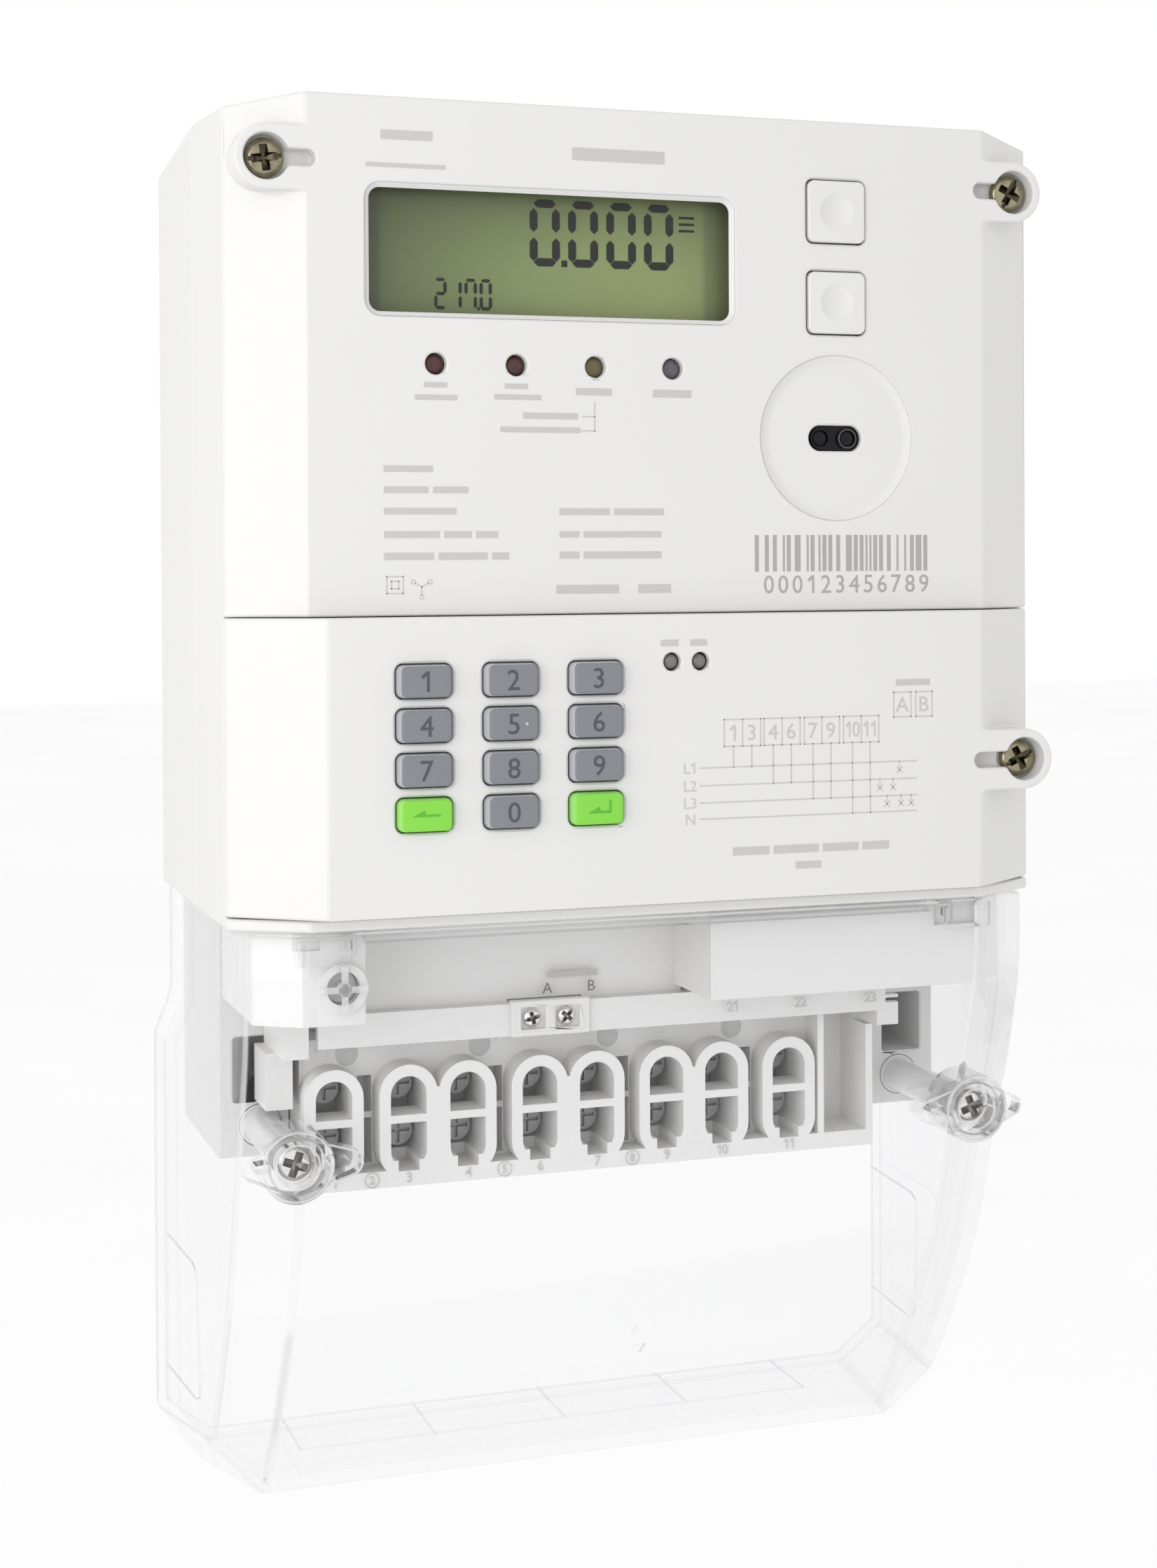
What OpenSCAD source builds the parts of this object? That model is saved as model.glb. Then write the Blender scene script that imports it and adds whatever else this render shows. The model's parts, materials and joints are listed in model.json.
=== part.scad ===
// Three-phase prepaid electricity meter with keypad, display and clear terminal cover.
// X runs right, Y runs back to the wall, Z runs up. The origin is the middle of the wall face.

/* [Housing] */
// Width of the housing
body_w = 170.8; // [170:0.2:171.6]
// Depth from the wall to the front of the upper housing
body_d = 86; // [85.8:0.1:86.4]
// Overall height, with the terminal cover
overall_h = 282.4; // [282:0.2:283]
// Height of the upper housing above the keypad cover
upper_h = 98.9; // [98.5:0.1:99.3]
// Height of the keypad cover
keypad_h = 57; // [56.8:0.1:57.4]
// How far the keypad cover stands in front of the upper housing
keypad_proud = 4; // [3.8:0.1:4.4]
// Wall thickness of the moulded housing
wall = 2.5; // [2.3:0.1:2.6]
// Width of the flat front between the side chamfers
front_w = 142; // [141:0.5:143]

/* [Display] */
// Width of the display window
window_w = 75.3; // [74:0.1:76]
// Height of the display window
window_h = 25.2; // [24:0.1:26]
// Radius of the indicator holes
led_r = 2.1; // [1.9:0.1:2.2]
// Spacing of the indicators
led_pitch = 16.15; // [15.9:0.05:16.3]
// Side of a square display button
button_w = 12.4; // [12:0.1:12.6]
// Travel of a display button
button_travel = 1.2; // [0.8:0.1:1.4]
// Radius of the optical port's recess
port_r = 16.5; // [16:0.1:17]

/* [Keypad] */
// Width of a key cap
key_w = 10.8; // [10.4:0.1:11.2]
// Height of a key cap
key_h = 6.3; // [6:0.1:6.5]
// Column spacing of the keys
key_px = 17.2; // [16.8:0.1:17.6]
// Row spacing of the keys
key_pz = 8.45; // [8.4:0.05:8.7]
// How far a key stands out of the cover
key_proud = 1.8; // [1.5:0.1:2]
// Travel of a key
key_travel = 1; // [0.6:0.1:1.1]

/* [Terminals] */
// Radius of a cable entry
cable_r = 4; // [3.6:0.1:4]
// Distance between the two terminals of one phase
phase_pitch = 15.5; // [15.3:0.1:15.6]
// Distance from one phase's pair to the next
pair_pitch = 28; // [28:0.1:28.2]
// Radius of the lower fixing holes
fixing_r = 2.75; // [2.4:0.05:2.9]
// Radius of the wide entry of the hanging slot
hang_head_r = 4.6; // [4.2:0.1:4.8]
// Half width of the hanging slot
hang_slot_r = 2.3; // [2:0.1:2.6]
// Distance between the lower fixing holes
fixing_w = 146.6; // [146.4:0.1:146.8]
// Wall thickness of the clear terminal cover
clear_wall = 2.5; // [2.4:0.1:2.6]

/* [Hidden] */
$fn = 48;

e = 0.01;                                // overshoot of a cut past the face it opens
gap = 0.3;                               // clearance between pieces that only pass
hw = body_w / 2;
fy = -body_d;                            // front of the upper housing
ky = fy - keypad_proud;                  // front of the keypad cover
seam_y = -43.3;                          // where the main cover meets the base
recess_y = -75;                          // wall behind the keypad cover
edge_y = -77.6;                          // crease between the side and the chamfer
fw = front_w / 2;
kfw = 68.4;                              // half width of the keypad cover's flat front
zt = overall_h / 2;                      // top
zs = zt - upper_h;                       // seam between main cover and keypad cover
zk = zs - keypad_h;                      // underside of the keypad cover
lip_h = 2.3;                             // height of the lip under the keypad cover
zl = zk - lip_h - gap;                   // underside of the main cover
top_drop = 2.9;                          // fall of the top edge towards its front corners
side_rise = 4.1;                         // slope of that fall's edge towards the back, in degrees
back_fall = 4.9;                         // slope of the top behind the seam, in degrees
flange_y = -42;                          // front of the base in the terminal space
flange_hw = 81;                          // half width of the base in the terminal space
zf = -69.4;                              // underside of the base
zb = -zt;                                // underside of the terminal cover

ear_x = 78.43;                           // axis of the sealing screws
ear_r = 6.2;                             // end radius of the ears
ear_z = zt - 12.5;                       // upper ears
key_ear_z = zs - 31;                     // ear of the keypad cover
seal_slot_h = 3.2;                       // height of the sealing slots
seal_recess_r = 4.4;                     // recess round a sealing screw's head

window_x = -22;                          // centre of the display window
window_z = zs + 69.8;
led_x = -45.92;                          // first indicator
led_z = zs + 48.23;
port_x = 37.9;                           // optical port and the display buttons
port_z = zs + 34.9;
button_z = [zs + 80.6, zs + 62.2];
key_x = -49.75;                          // first key
key_z = zs - 12.33;
link_x = [0.6, 6.6];                     // the two link indicators
link_z = zs - 9.55;

clamp_x = 72.35;                         // captive screws of the terminal cover
clamp_z = zs - 105.2;
clamp_y = -79.5;                         // front of their bosses
clamp_r = 7.25;
post_r = 3.8;

term_x = -60.2;                          // first terminal
term_y = -57;                            // front of the terminal guards
term_back = -14;                         // back of the terminal block
term_x0 = -66;                           // left end of the terminal block
term_x1 = 59;                            // right end
term_z0 = -74.3;                         // underside
term_z1 = -44.6;                         // top
well_z = -60.6;                          // bar between the two screws of a terminal
screw_z = [-55.2, -65];
cable_y = -29;                           // axis of the cable entries
guard_y = -50.5;                         // face that the guards stand on
strip_z = -44.3;                         // underside of the shroud's strip
strip_y = -62;                           // front of the strip
panel_y = -58.6;                         // front of the recessed panel
box_y = -80.5;                           // front of the shroud's two boxes
box_z = -36.1;                           // underside of the boxes
lug_recess = 1.2;                        // depth of the recesses for the clear cover's lugs
plunger_x = -63.9;
plunger_z = -28.8;
board_y = -62;                           // front of the main board
board_t = 1.6;                           // thickness of both boards
board_screw_x = 67;
board_screw_z = [zs - 14, zt - 16];
pad_board_y = -82;                       // front of the keypad board
pad_screw_x = [-62, 20];
pad_screw_z = [zs - 44, zs - 6];
link_block_x = -16.2;                    // middle of the two-pole link terminals
link_block_z = -40.8;
pocket_x = fixing_w / 2;                 // lower fixing pockets
pocket_z = [-57.7, -44.7];
fixing_z = -51;
hanger_z = zt - 12;                      // where the hanging screw rests

// Middle of terminal i, counted from the left
function terminal_at(i) = term_x + floor(i / 2) * pair_pitch + (i % 2) * phase_pitch;
// Middle of key [column, row]
function key_at(c, r) = [key_x + c * key_px, key_z - r * key_pz];

// A box from its low corner to its high corner
module span(a, b) {
    translate(a)
        cube(b - a);
}

// A cylinder along Y from y0 to y1
module rod(x, z, y0, y1, r) {
    translate([x, y0, z])
        rotate([-90, 0, 0])
            cylinder(r = r, h = y1 - y0);
}

// A rounded rectangle w by h in XZ, from y0 to y1
module rounded(x, z, w, h, r, y0, y1) {
    translate([x, y1, z])
        rotate([90, 0, 0])
            linear_extrude(y1 - y0)
                rounded_outline(w, h, r);
}

module rounded_outline(w, h, r) {
    square([w - 2 * r, h], center = true);
    square([w, h - 2 * r], center = true);
    for (sx = [-1, 1], sz = [-1, 1])
        translate([sx * (w / 2 - r), sz * (h / 2 - r)])
            circle(r);
}

// A slot with round ends between x0 and x1 in XZ
module slot_x(x0, x1, z, r, y0, y1) {
    span([x0, y0, z - r], [x1, y1, z + r]);
    rod(x0, z, y0, y1, r);
    rod(x1, z, y0, y1, r);
}

// The housing's plan, inset by t, from the front at y back to y1
module plan(half, flat, y, crease, t, y1) {
    polygon([[-half + t, y1], [-half + t, crease + t / 2], [-flat + t / 2, y + t],
        [flat - t / 2, y + t], [half - t, crease + t / 2], [half - t, y1]]);
}

// The housing's block, inset by t: its front corners and its back fall away from a flat top
module front_prism(t, y0, y1) {
    difference() {
        span([-hw + t, y0, zl], [hw - t, y1, zt - t]);
        for (s = [-1, 1])
            translate([s * fw, fy, zt - t])
                rotate([side_rise, s * atan(top_drop / (hw - fw)), 0])
                    translate([-30, -10, 0])
                        cube([60, 120, 20]);
        translate([-hw - 10, seam_y, zt - t])
            rotate([-back_fall, 0, 0])
                cube([body_w + 20, 60, 20]);
    }
}

// Cross and slot in the face of a screw head
module drive_cut(x, z, y, r) {
    span([x - r * 0.8, y - e, z - 0.35], [x + r * 0.8, y + 0.9, z + 0.35]);
    span([x - 0.35, y - e, z - r * 0.8], [x + 0.35, y + 0.9, z + r * 0.8]);
}

// A screw along Y with its head's face at y
module screw(x, z, y, head_r, head_h, shank_r, tip_y) {
    difference() {
        union() {
            rod(x, z, y + 0.5, y + head_h, head_r);
            rod(x, z, y, y + 0.5 + e, head_r - 0.4);
            rod(x, z, y + head_h - e, tip_y, shank_r);
        }
        drive_cut(x, z, y, head_r);
    }
}

module base() {
    color("whitesmoke")
        difference() {
            union() {
                difference() {
                    front_prism(0, seam_y, 0);
                    difference() {
                        front_prism(wall, seam_y - e, -wall);
                        span([-hw, seam_y - 1, zl - 1], [hw, 0, zl + wall]);
                    }
                }
                span([-flange_hw, flange_y, zf], [flange_hw, 0, zl + wall]);
                cover_posts();
                board_posts();
                span([-7, -8, hanger_z - 13], [7, -1, hanger_z + 6]);
                for (s = [-1, 1])
                    rod(s * clamp_x, clamp_z, flange_y - 0.6, flange_y + 1, 4.4);
            }
            lower_hollow();
            terminal_notch();
            for (s = [-1, 1]) {
                span([s * pocket_x - 4.6, flange_y - 1, pocket_z[0]],
                    [s * pocket_x + 4.6, -4, pocket_z[1]]);
                rod(s * pocket_x, fixing_z, -5, 1, fixing_r);
                rod(s * clamp_x, clamp_z, flange_y - 1, -28, 2.1);
                rod(s * ear_x, ear_z, -61, -40, 2.1);
            }
            hanger_cuts();
            for (s = [-1, 1], z = board_screw_z)
                rod(s * board_screw_x, z, board_y, -50, 1.6);
        }
}

// Keyhole that the base hangs by: a wide entry, a slot above it and room for the head
module hanger_cuts() {
    rod(0, hanger_z - 7, -6.2, 1, hang_head_r);
    rod(0, hanger_z, -6.2, -wall, hang_head_r);
    span([-hang_head_r, -6.2, hanger_z - 7], [hang_head_r, -wall, hanger_z]);
    rod(0, hanger_z, -6.2, 1, hang_slot_r);
    span([-hang_slot_r, -6.2, hanger_z - 7], [hang_slot_r, 1, hanger_z]);
}

// The hollow behind the flange, with ribs left round the pockets and the block
module lower_hollow() {
    difference() {
        span([-flange_hw + 2, flange_y + 2, zf + 2], [flange_hw - 2, -wall, zl + wall + 1]);
        span([term_x0 - 2.3, flange_y - 1, zf - 1], [term_x1 + 2.3, term_back + 2.3, term_z1 + 2.3]);
        for (s = [-1, 1]) {
            span([s * pocket_x - 6.1, flange_y - 1, pocket_z[0] - 1.5],
                [s * pocket_x + 6.1, 0, pocket_z[1] + 1.5]);
            rod(s * clamp_x, clamp_z, flange_y - 1, -26, 4.2);
        }
    }
}

// Space for the terminal block, open to the front and below, with slots for the busbars
module terminal_notch() {
    span([term_x0 - gap, flange_y - 1, zf - 1], [term_x1 + gap, term_back + gap, term_z1 + gap]);
    for (i = [0:7])
        span([terminal_at(i) - 4, -21, term_z1], [terminal_at(i) + 4, -16.8, term_z1 + 4]);
}

// Posts of the base that the sealing screws bite into
module cover_posts() {
    for (s = [-1, 1])
        intersection() {
            rod(s * ear_x, ear_z, -60, -1, 4.1);
            front_prism(0.5, -61, 0);
        }
}

// Posts that carry the main board
module board_posts() {
    for (s = [-1, 1], z = board_screw_z)
        rod(s * board_screw_x, z, board_y + board_t, -1, 3.6);
}

module main_cover() {
    color("white")
        difference() {
            union() {
                intersection() {
                    translate([0, 0, zs])
                        linear_extrude(upper_h)
                            plan(hw, fw, fy, edge_y, 0, seam_y);
                    front_prism(0, fy - 1, 0);
                }
                span([-hw, recess_y, zl], [hw, seam_y, zs + 1]);
                translate([0, 0, zl])
                    linear_extrude(lip_h)
                        plan(hw, fw, fy, edge_y, 0, seam_y);
                for (s = [-1, 1])
                    ear(s, fw - 5, fy);
            }
            difference() {
                cover_hollow();
                for (s = [-1, 1]) {
                    ear(s, fw + 3, fy + 1);
                    rod(s * ear_x, ear_z, fy + 1, -60.3, 4.1);
                }
                rod(ear_x, key_ear_z, recess_y, -62, 4.4);
                for (b = button_z)
                    button_guide(b);
            }
            for (s = [-1, 1])
                seal_cut(s, ear_z, fy, 8.7);
            rod(ear_x, key_ear_z, recess_y - 1, -61, 2.1);
            cover_windows();
        }
}

// An ear that carries a sealing screw, from x0 outwards and from y0 back
module ear(s, x0, y0) {
    slot_x(min(s * x0, s * ear_x), max(s * x0, s * ear_x), ear_z, ear_r, y0, fy + 10);
}

// Recess, shank hole and sealing-wire slot of an ear
module seal_cut(s, z, y, reach) {
    rod(s * ear_x, z, y - 1, y + 4, seal_recess_r);
    rod(s * ear_x, z, y, -50, 2.1);
    slot_x(min(s * ear_x, s * (ear_x - reach + 1)), max(s * ear_x, s * (ear_x - reach + 1)),
        z, seal_slot_h / 2, y - 1, y + 4);
}

// The inside of the main cover
module cover_hollow() {
    intersection() {
        translate([0, 0, zs + wall])
            linear_extrude(upper_h)
                plan(hw, fw, fy, edge_y, wall, seam_y + e);
        front_prism(wall, fy - 1, 1);
    }
    span([-hw + wall, recess_y + wall, zl + wall], [hw - wall, seam_y + 1, zs + wall + 1]);
}

// Square sleeve behind a display button
module button_guide(z) {
    w = button_w + 4;
    difference() {
        rounded(port_x, z, w, w, 2, fy + 1, fy + 6);
        rounded(port_x, z, w - 2.6, w - 2.6, 1.5, fy, fy + 7);
    }
}

// Openings in the front of the main cover
module cover_windows() {
    rounded(window_x, window_z, window_w, window_h, 3, fy - 1, fy + wall + 1);
    for (i = [0:3])
        rod(led_x + i * led_pitch, led_z, fy - 1, fy + wall + 1, led_r);
    for (b = button_z)
        rounded(port_x, b, button_w + 0.6, button_w + 0.6, 1.5, fy - 1, fy + wall + 1);
    rod(port_x, port_z, fy - 1, fy + 0.7, port_r);
    slot_x(port_x - 3.2, port_x + 3.2, port_z, 2.6, fy - 1, fy + wall + 1);
    span([-14, recess_y - 1, zs - 42], [14, recess_y + wall + 1, zs - 34]);
}

module case_gasket() {
    color("dimgray")
        difference() {
            front_gasket(wall + 0.2);
            front_gasket(wall + 1.8);
            for (s = [-1, 1])
                rod(s * ear_x, ear_z, seam_y - 4, seam_y + 4, 4.4);
        }
}

// Block inside the side walls, inset by t
module front_gasket(t) {
    intersection() {
        front_prism(t, seam_y - 1.5 - t / 10, seam_y + 1.5 + t / 10);
        span([-hw, -60, zl + t], [hw, 0, zt]);
    }
}

module keypad_cover() {
    color("white")
        difference() {
            union() {
                difference() {
                    keypad_shell(0, 0);
                    difference() {
                        keypad_shell(2.3, 1);
                        ear_block(ky + 1);
                        pad_posts();
                    }
                }
                ear_block(ky);
            }
            rod(ear_x, key_ear_z, ky - 1, ky + 4.8, seal_recess_r);
            rod(ear_x, key_ear_z, ky, recess_y + 1, 2.1);
            slot_x(ear_x - 10, ear_x, key_ear_z, seal_slot_h / 2, ky - 1, ky + 4);
            for (c = [0:2], r = [0:3])
                rounded(key_at(c, r)[0], key_at(c, r)[1], key_w + 0.5, key_h + 0.5, 1.6,
                    ky - 1, ky + 3);
            for (x = link_x)
                rod(x, link_z, ky - 1, ky + 3, 1.8);
            for (x = pad_screw_x, z = pad_screw_z)
                rod(x, z, pad_board_y - 3, pad_board_y + 1, 0.8);
        }
}

// The keypad cover's outer block, or its hollow when inset by t
module keypad_shell(t, back) {
    translate([0, 0, zk + t])
        linear_extrude(keypad_h - 0.2 - 2 * t)
            plan(hw, kfw, ky, edge_y, t, recess_y + back - gap);
}

module ear_block(y) {
    slot_x(kfw - 5, ear_x, key_ear_z, ear_r, y, recess_y - gap);
}

// Bosses inside the keypad cover for its board
module pad_posts() {
    for (x = pad_screw_x, z = pad_screw_z)
        rod(x, z, ky + 1, pad_board_y, 2.2);
}

// Side profile of the clear cover as [y, z] points, moved in by t
function clear_profile(t) = [
    [fy + t, zl - 0.5],
    [fy + 0.5 + t, zs - 76],
    [fy + 2.6 + t, zs - 86],
    [fy + 5.8 + t * 1.05, zs - 97],
    [fy + 11.5 + t * 1.1, zs - 112],
    [fy + 20.7 + t * 1.15, zs - 139 + t * 0.2],
    [fy + 36 + t * 1.2, zs - 166 + t * 0.5],
    [fy + 48.6 + t * 1.2, zb + t],
    [0, zb + t],
    [0, zl - 0.5]];

module clear_slab(half, shift, t) {
    rotate([90, 0, 90])
        translate([0, 0, -half])
            linear_extrude(2 * half)
                polygon([for (p = clear_profile(t)) [min(p[0] + shift, 0), p[1]]]);
}

// Outer or inner form of the clear cover
module clear_form(t) {
    intersection() {
        hull() {
            clear_slab(fw - t * 0.5, 0, t);
            clear_slab(84.2 - t, 8.5, t);
        }
        translate([0, 1, 0])
            rotate([90, 0, 0])
                linear_extrude(90)
                    polygon([[-hw, zl], [-hw, zb + 8 + t], [-fw, zb + t], [fw, zb + t],
                        [hw, zb + 8 + t], [hw, zl]]);
    }
}

// Flare towards the wall, where the cover is widest
module clear_flare(t) {
    hull() {
        intersection() {
            clear_slab(84.2 - t, 8.5, t);
            span([-100, -60, zb + 8 + t], [100, -30, zs - 92 - t]);
        }
        rotate([90, 0, 0])
            linear_extrude(3)
                polygon([[-84.2 + t, zs - 84 - t], [-88 + t, zs - 93.6 - t], [-88 + t, zb + 9 + t],
                    [-77 + t, zb + t], [77 - t, zb + t], [88 - t, zb + 9 + t],
                    [88 - t, zs - 93.6 - t], [84.2 - t, zs - 84 - t]]);
    }
}

module terminal_cover() {
    color([0.9, 0.92, 0.95, 0.35])
        difference() {
            union() {
                difference() {
                    union() {
                        clear_form(0);
                        clear_flare(0);
                    }
                    translate([0, e, 0])
                        clear_form(clear_wall);
                    translate([0, e, 0])
                        clear_flare(clear_wall);
                    span([-81.7, fy + 3, zl - 2], [81.7, 1, zl + 1]);
                }
                for (s = [-1, 1]) {
                    rod(s * clamp_x, clamp_z, clamp_y, clamp_y + 9, clamp_r);
                    rod(s * clamp_x, clamp_z, clamp_y + 2, flange_y - 0.8, post_r);
                    sealing_wing(s);
                }
                span([-60, fy + 1, zl - 2.7], [fw - 12, fy + 4.8, zl - 0.7]);
                plunger_cross();
            }
            for (s = [-1, 1]) {
                rod(s * clamp_x, clamp_z, clamp_y - 1, clamp_y + 4.6, 3.9);
                rod(s * clamp_x, clamp_z, clamp_y, flange_y, 2.1);
            }
        }
}

// Pierced wing beside a captive screw
module sealing_wing(s) {
    inner = s * (clamp_x - 11.5);
    difference() {
        slot_x(min(s * clamp_x, inner), max(s * clamp_x, inner), clamp_z, 3.7, clamp_y + 0.6,
            clamp_y + 5);
        slot_x(min(s * (clamp_x - 8.5), inner), max(s * (clamp_x - 8.5), inner), clamp_z, 1,
            clamp_y, clamp_y + 6);
    }
}

// Cross-shaped post of the clear cover that holds the plunger in
module plunger_cross() {
    span([plunger_x - 4.5, fy + 1, plunger_z - 0.6], [plunger_x + 4.5, box_y - 2.6, plunger_z + 0.6]);
    span([plunger_x - 0.6, fy + 1, plunger_z - 4.5], [plunger_x + 0.6, box_y - 2.6, plunger_z + 4.5]);
    rod(plunger_x, plunger_z, fy + 1, box_y - 1.7, 1.3);
}

module terminal_shroud() {
    color("gainsboro")
        difference() {
            union() {
                side_box(-1, -80, -59.2);
                side_box(1, 12.1, 80);
                span([-61, panel_y, -39.7], [14, panel_y + 2, zl - 0.2]);
                span([-64.5, strip_y, strip_z], [59.8, strip_y + 2, -37.7]);
                span([-64.5, strip_y, -39.7], [59.8, flange_y - 0.1, -37.7]);
                span([57.8, strip_y, strip_z - 3.2], [59.8, guard_y - 0.8, -37.7]);
                span([59.8, strip_y, strip_z - 3.2], [62.8, strip_y + 2, strip_z + 1.6]);
                span([59.8, strip_y, strip_z + 2.6], [62.8, strip_y + 2, strip_z + 3.2]);
                span([-71.5, strip_y, -46], [-66.4, flange_y - 0.1, box_z + 1]);
                span([-73.5, -54, -57.5], [-68, flange_y - 0.1, -46]);
                rod(plunger_x, plunger_z, box_y - 1.6, box_y + 1, 4.8);
                rod(plunger_x, plunger_z, box_y, box_y + 9, 4.4);
            }
            rod(plunger_x, plunger_z, box_y - 2, box_y + 20, 3.25);
            span([62, box_y - 1, -23.5], [71.6, box_y + lug_recess, zl]);
            span([-80.5, box_y - 1, -21.5], [-68, box_y + lug_recess, zl]);
            span([link_block_x - 8, strip_y - 1, link_block_z - 3.3],
                [link_block_x + 8, panel_y + 3, link_block_z + 3.5]);
        }
}

// One hollow box of the shroud, with its outer front corner cut back; s is its outer side
module side_box(s, x0, x1) {
    difference() {
        side_prism(s, x0, x1, box_y, box_z, 0);
        side_prism(s, x0 + 2, x1 - 2, box_y + 2, box_z + 2, 1);
    }
}

module side_prism(s, x0, x1, y, z, more) {
    cut = 8.5;
    drop = 6;
    translate([0, 0, z])
        linear_extrude(zl - 0.2 - z + more)
            polygon(s < 0
                ? [[x0, flange_y - 0.1 + more], [x0, y + drop], [x0 + cut, y], [x1, y],
                    [x1, flange_y - 0.1 + more]]
                : [[x0, flange_y - 0.1 + more], [x0, y], [x1 - cut, y], [x1, y + drop],
                    [x1, flange_y - 0.1 + more]]);
}

module terminal_block() {
    color("lightgray")
        difference() {
            union() {
                span([term_x0, guard_y, term_z0], [term_x1, term_back, term_z1]);
                span([term_x0, term_y, term_z0], [term_x1, guard_y + 1, -70.9]);
                for (i = [0:7])
                    guard(terminal_at(i), 6.1, term_y, guard_y + 1);
                for (i = [1:2:5])
                    span([terminal_at(i), term_y, -66.5], [terminal_at(i + 1), guard_y + 1, -54.5]);
                span([46.1, term_y, term_z0], [47.5, guard_y + 1, term_z1]);
                span([57.4, term_y, term_z0], [term_x1, guard_y + 1, strip_z - 3.8]);
                span([term_x1, -46, -71], [term_x1 + 2.1, flange_y - 0.3, -50]);
            }
            for (i = [0:7])
                terminal_cuts(terminal_at(i));
            for (i = [0:2:6])
                spare_slot(terminal_at(i) + phase_pitch / 2);
            span([47.5, term_y - 1, -70.9], [57.4, -44, term_z1 + 1]);
        }
}

// Outline of a terminal's guard, or of its well when r is smaller
module guard(x, r, y0, y1) {
    span([x - r, y0, -67], [x + r, y1, -49.6 - 6.1]);
    rod(x, -49.6 - 6.1, y0, y1, r);
    rod(x, -67, y0, y1, r);
}

// Deep slot between the two guards of a phase, with a bar left across it
module spare_slot(x) {
    difference() {
        span([x - 1.5, term_y - 1, -70.5], [x + 1.5, -44, -52.5]);
        span([x - 2, term_y + 1.5, well_z - 0.6], [x + 2, guard_y + 1, well_z + 0.6]);
    }
}

// Screw well, cage space, busbar slot and cable entry of one terminal
module terminal_cuts(x) {
    difference() {
        union() {
            intersection() {
                guard(x, 3.75, term_y - 1, -41);
                span([x - 4, term_y - 2, -69], [x + 4, 0, 0]);
            }
            span([x - 2.2, term_y - 1, -71.2], [x + 2.2, -46, -66]);
        }
        span([x - 4, term_y - 2, well_z - 0.8], [x + 4, -49, well_z + 0.8]);
    }
    span([x - 4.8, -41.2, -68.5], [x + 4.8, -17.4, -50.6]);
    span([x - 3.9, -20, -51], [x + 3.9, -17.4, term_z1 + 1]);
    translate([x, cable_y, term_z0 - 1])
        cylinder(r = cable_r, h = 7);
}

module terminal_cages() {
    color("goldenrod")
        for (i = [0:7])
            difference() {
                span([terminal_at(i) - 4.6, -40.8, -68.3], [terminal_at(i) + 4.6, -19.7, -50.8]);
                translate([terminal_at(i), cable_y, -69])
                    cylinder(r = cable_r + 0.1, h = 16);
                for (z = screw_z)
                    rod(terminal_at(i), z, -42, -28, 2.6);
            }
}

module terminal_screws() {
    color("silver")
        for (i = [0:7], z = screw_z)
            difference() {
                union() {
                    rod(terminal_at(i), z, -47.5, -44, 3.1);
                    rod(terminal_at(i), z, -44.1, -33.4, 2.5);
                }
                drive_cut(terminal_at(i), z, -47.5, 3.1);
            }
}

module terminal_busbars() {
    color("peru")
        for (i = [0:7])
            span([terminal_at(i) - 3.4, -19.5, -60], [terminal_at(i) + 3.4, -18, 12]);
}

module current_transformers() {
    color("royalblue")
        for (i = [0:2:6])
            translate([terminal_at(i), -18.75, -38])
                difference() {
                    cylinder(r = 8, h = 9);
                    translate([0, 0, -1])
                        cylinder(r = 4.4, h = 11);
                }
}

module disconnect_relays() {
    color("slategray")
        for (i = [0:2:4])
            span([terminal_at(i) - 5, -36, -12], [terminal_at(i + 1) + 3.4, -19.8, 22]);
}

module display_window() {
    color([0.8, 0.85, 0.8, 0.3])
        union() {
            rounded(window_x, window_z, window_w - 0.3, window_h - 0.3, 2.85, fy + 0.9, fy + wall + e);
            rounded(window_x, window_z, window_w + 4, window_h + 4, 3, fy + wall, fy + wall + 1.3);
        }
}

module display_panel() {
    color("darkseagreen")
        rounded(window_x, window_z, 80, 34, 1, fy + 5.4, fy + 8.2);
}

module display_holder() {
    color("white")
        difference() {
            rounded(window_x, window_z, 83, 37, 1.5, fy + 4.6, board_y - 0.1);
            rounded(window_x, window_z, 80.4, 34.4, 1, fy + 3, fy + 8.4);
            rounded(window_x, window_z, 76, 30, 1, fy + 12, board_y + 1);
        }
}

module main_board() {
    color("darkgreen")
        difference() {
            span([-72, board_y, zs - 48], [72, board_y + board_t, zt - 9]);
            for (s = [-1, 1], z = board_screw_z)
                rod(s * board_screw_x, z, board_y - 1, board_y + 3, 1.7);
        }
}

module indicator_light_pipes() {
    color("lightgray")
        for (i = [0:3])
            union() {
                rod(led_x + i * led_pitch, led_z, fy + 1.2, fy + 6, led_r - 0.15);
                rod(led_x + i * led_pitch, led_z, fy + wall + 0.1, board_y - 4.2, 2.6);
            }
}

module indicator_leds() {
    color("tomato")
        for (i = [0:3])
            rod(led_x + i * led_pitch, led_z, board_y - 4, board_y, 1.5);
}

module optical_window() {
    color([0.1, 0.08, 0.1])
        union() {
            slot_x(port_x - 3.2, port_x + 3.2, port_z, 2.45, fy + 1.5, fy + wall + e);
            slot_x(port_x - 3.6, port_x + 3.6, port_z, 3.6, fy + wall, fy + 3.9);
        }
}

module optical_steel_plate() {
    color("silver")
        difference() {
            rod(port_x, port_z, fy + wall + 0.1, fy + 4.1, 15);
            slot_x(port_x - 3.6, port_x + 3.6, port_z, 4, fy, fy + 6);
        }
}

module optical_diodes() {
    color("black")
        for (s = [-1, 1])
            rod(port_x + s * 3, port_z, fy + 4.2, board_y, 2.2);
}

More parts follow.
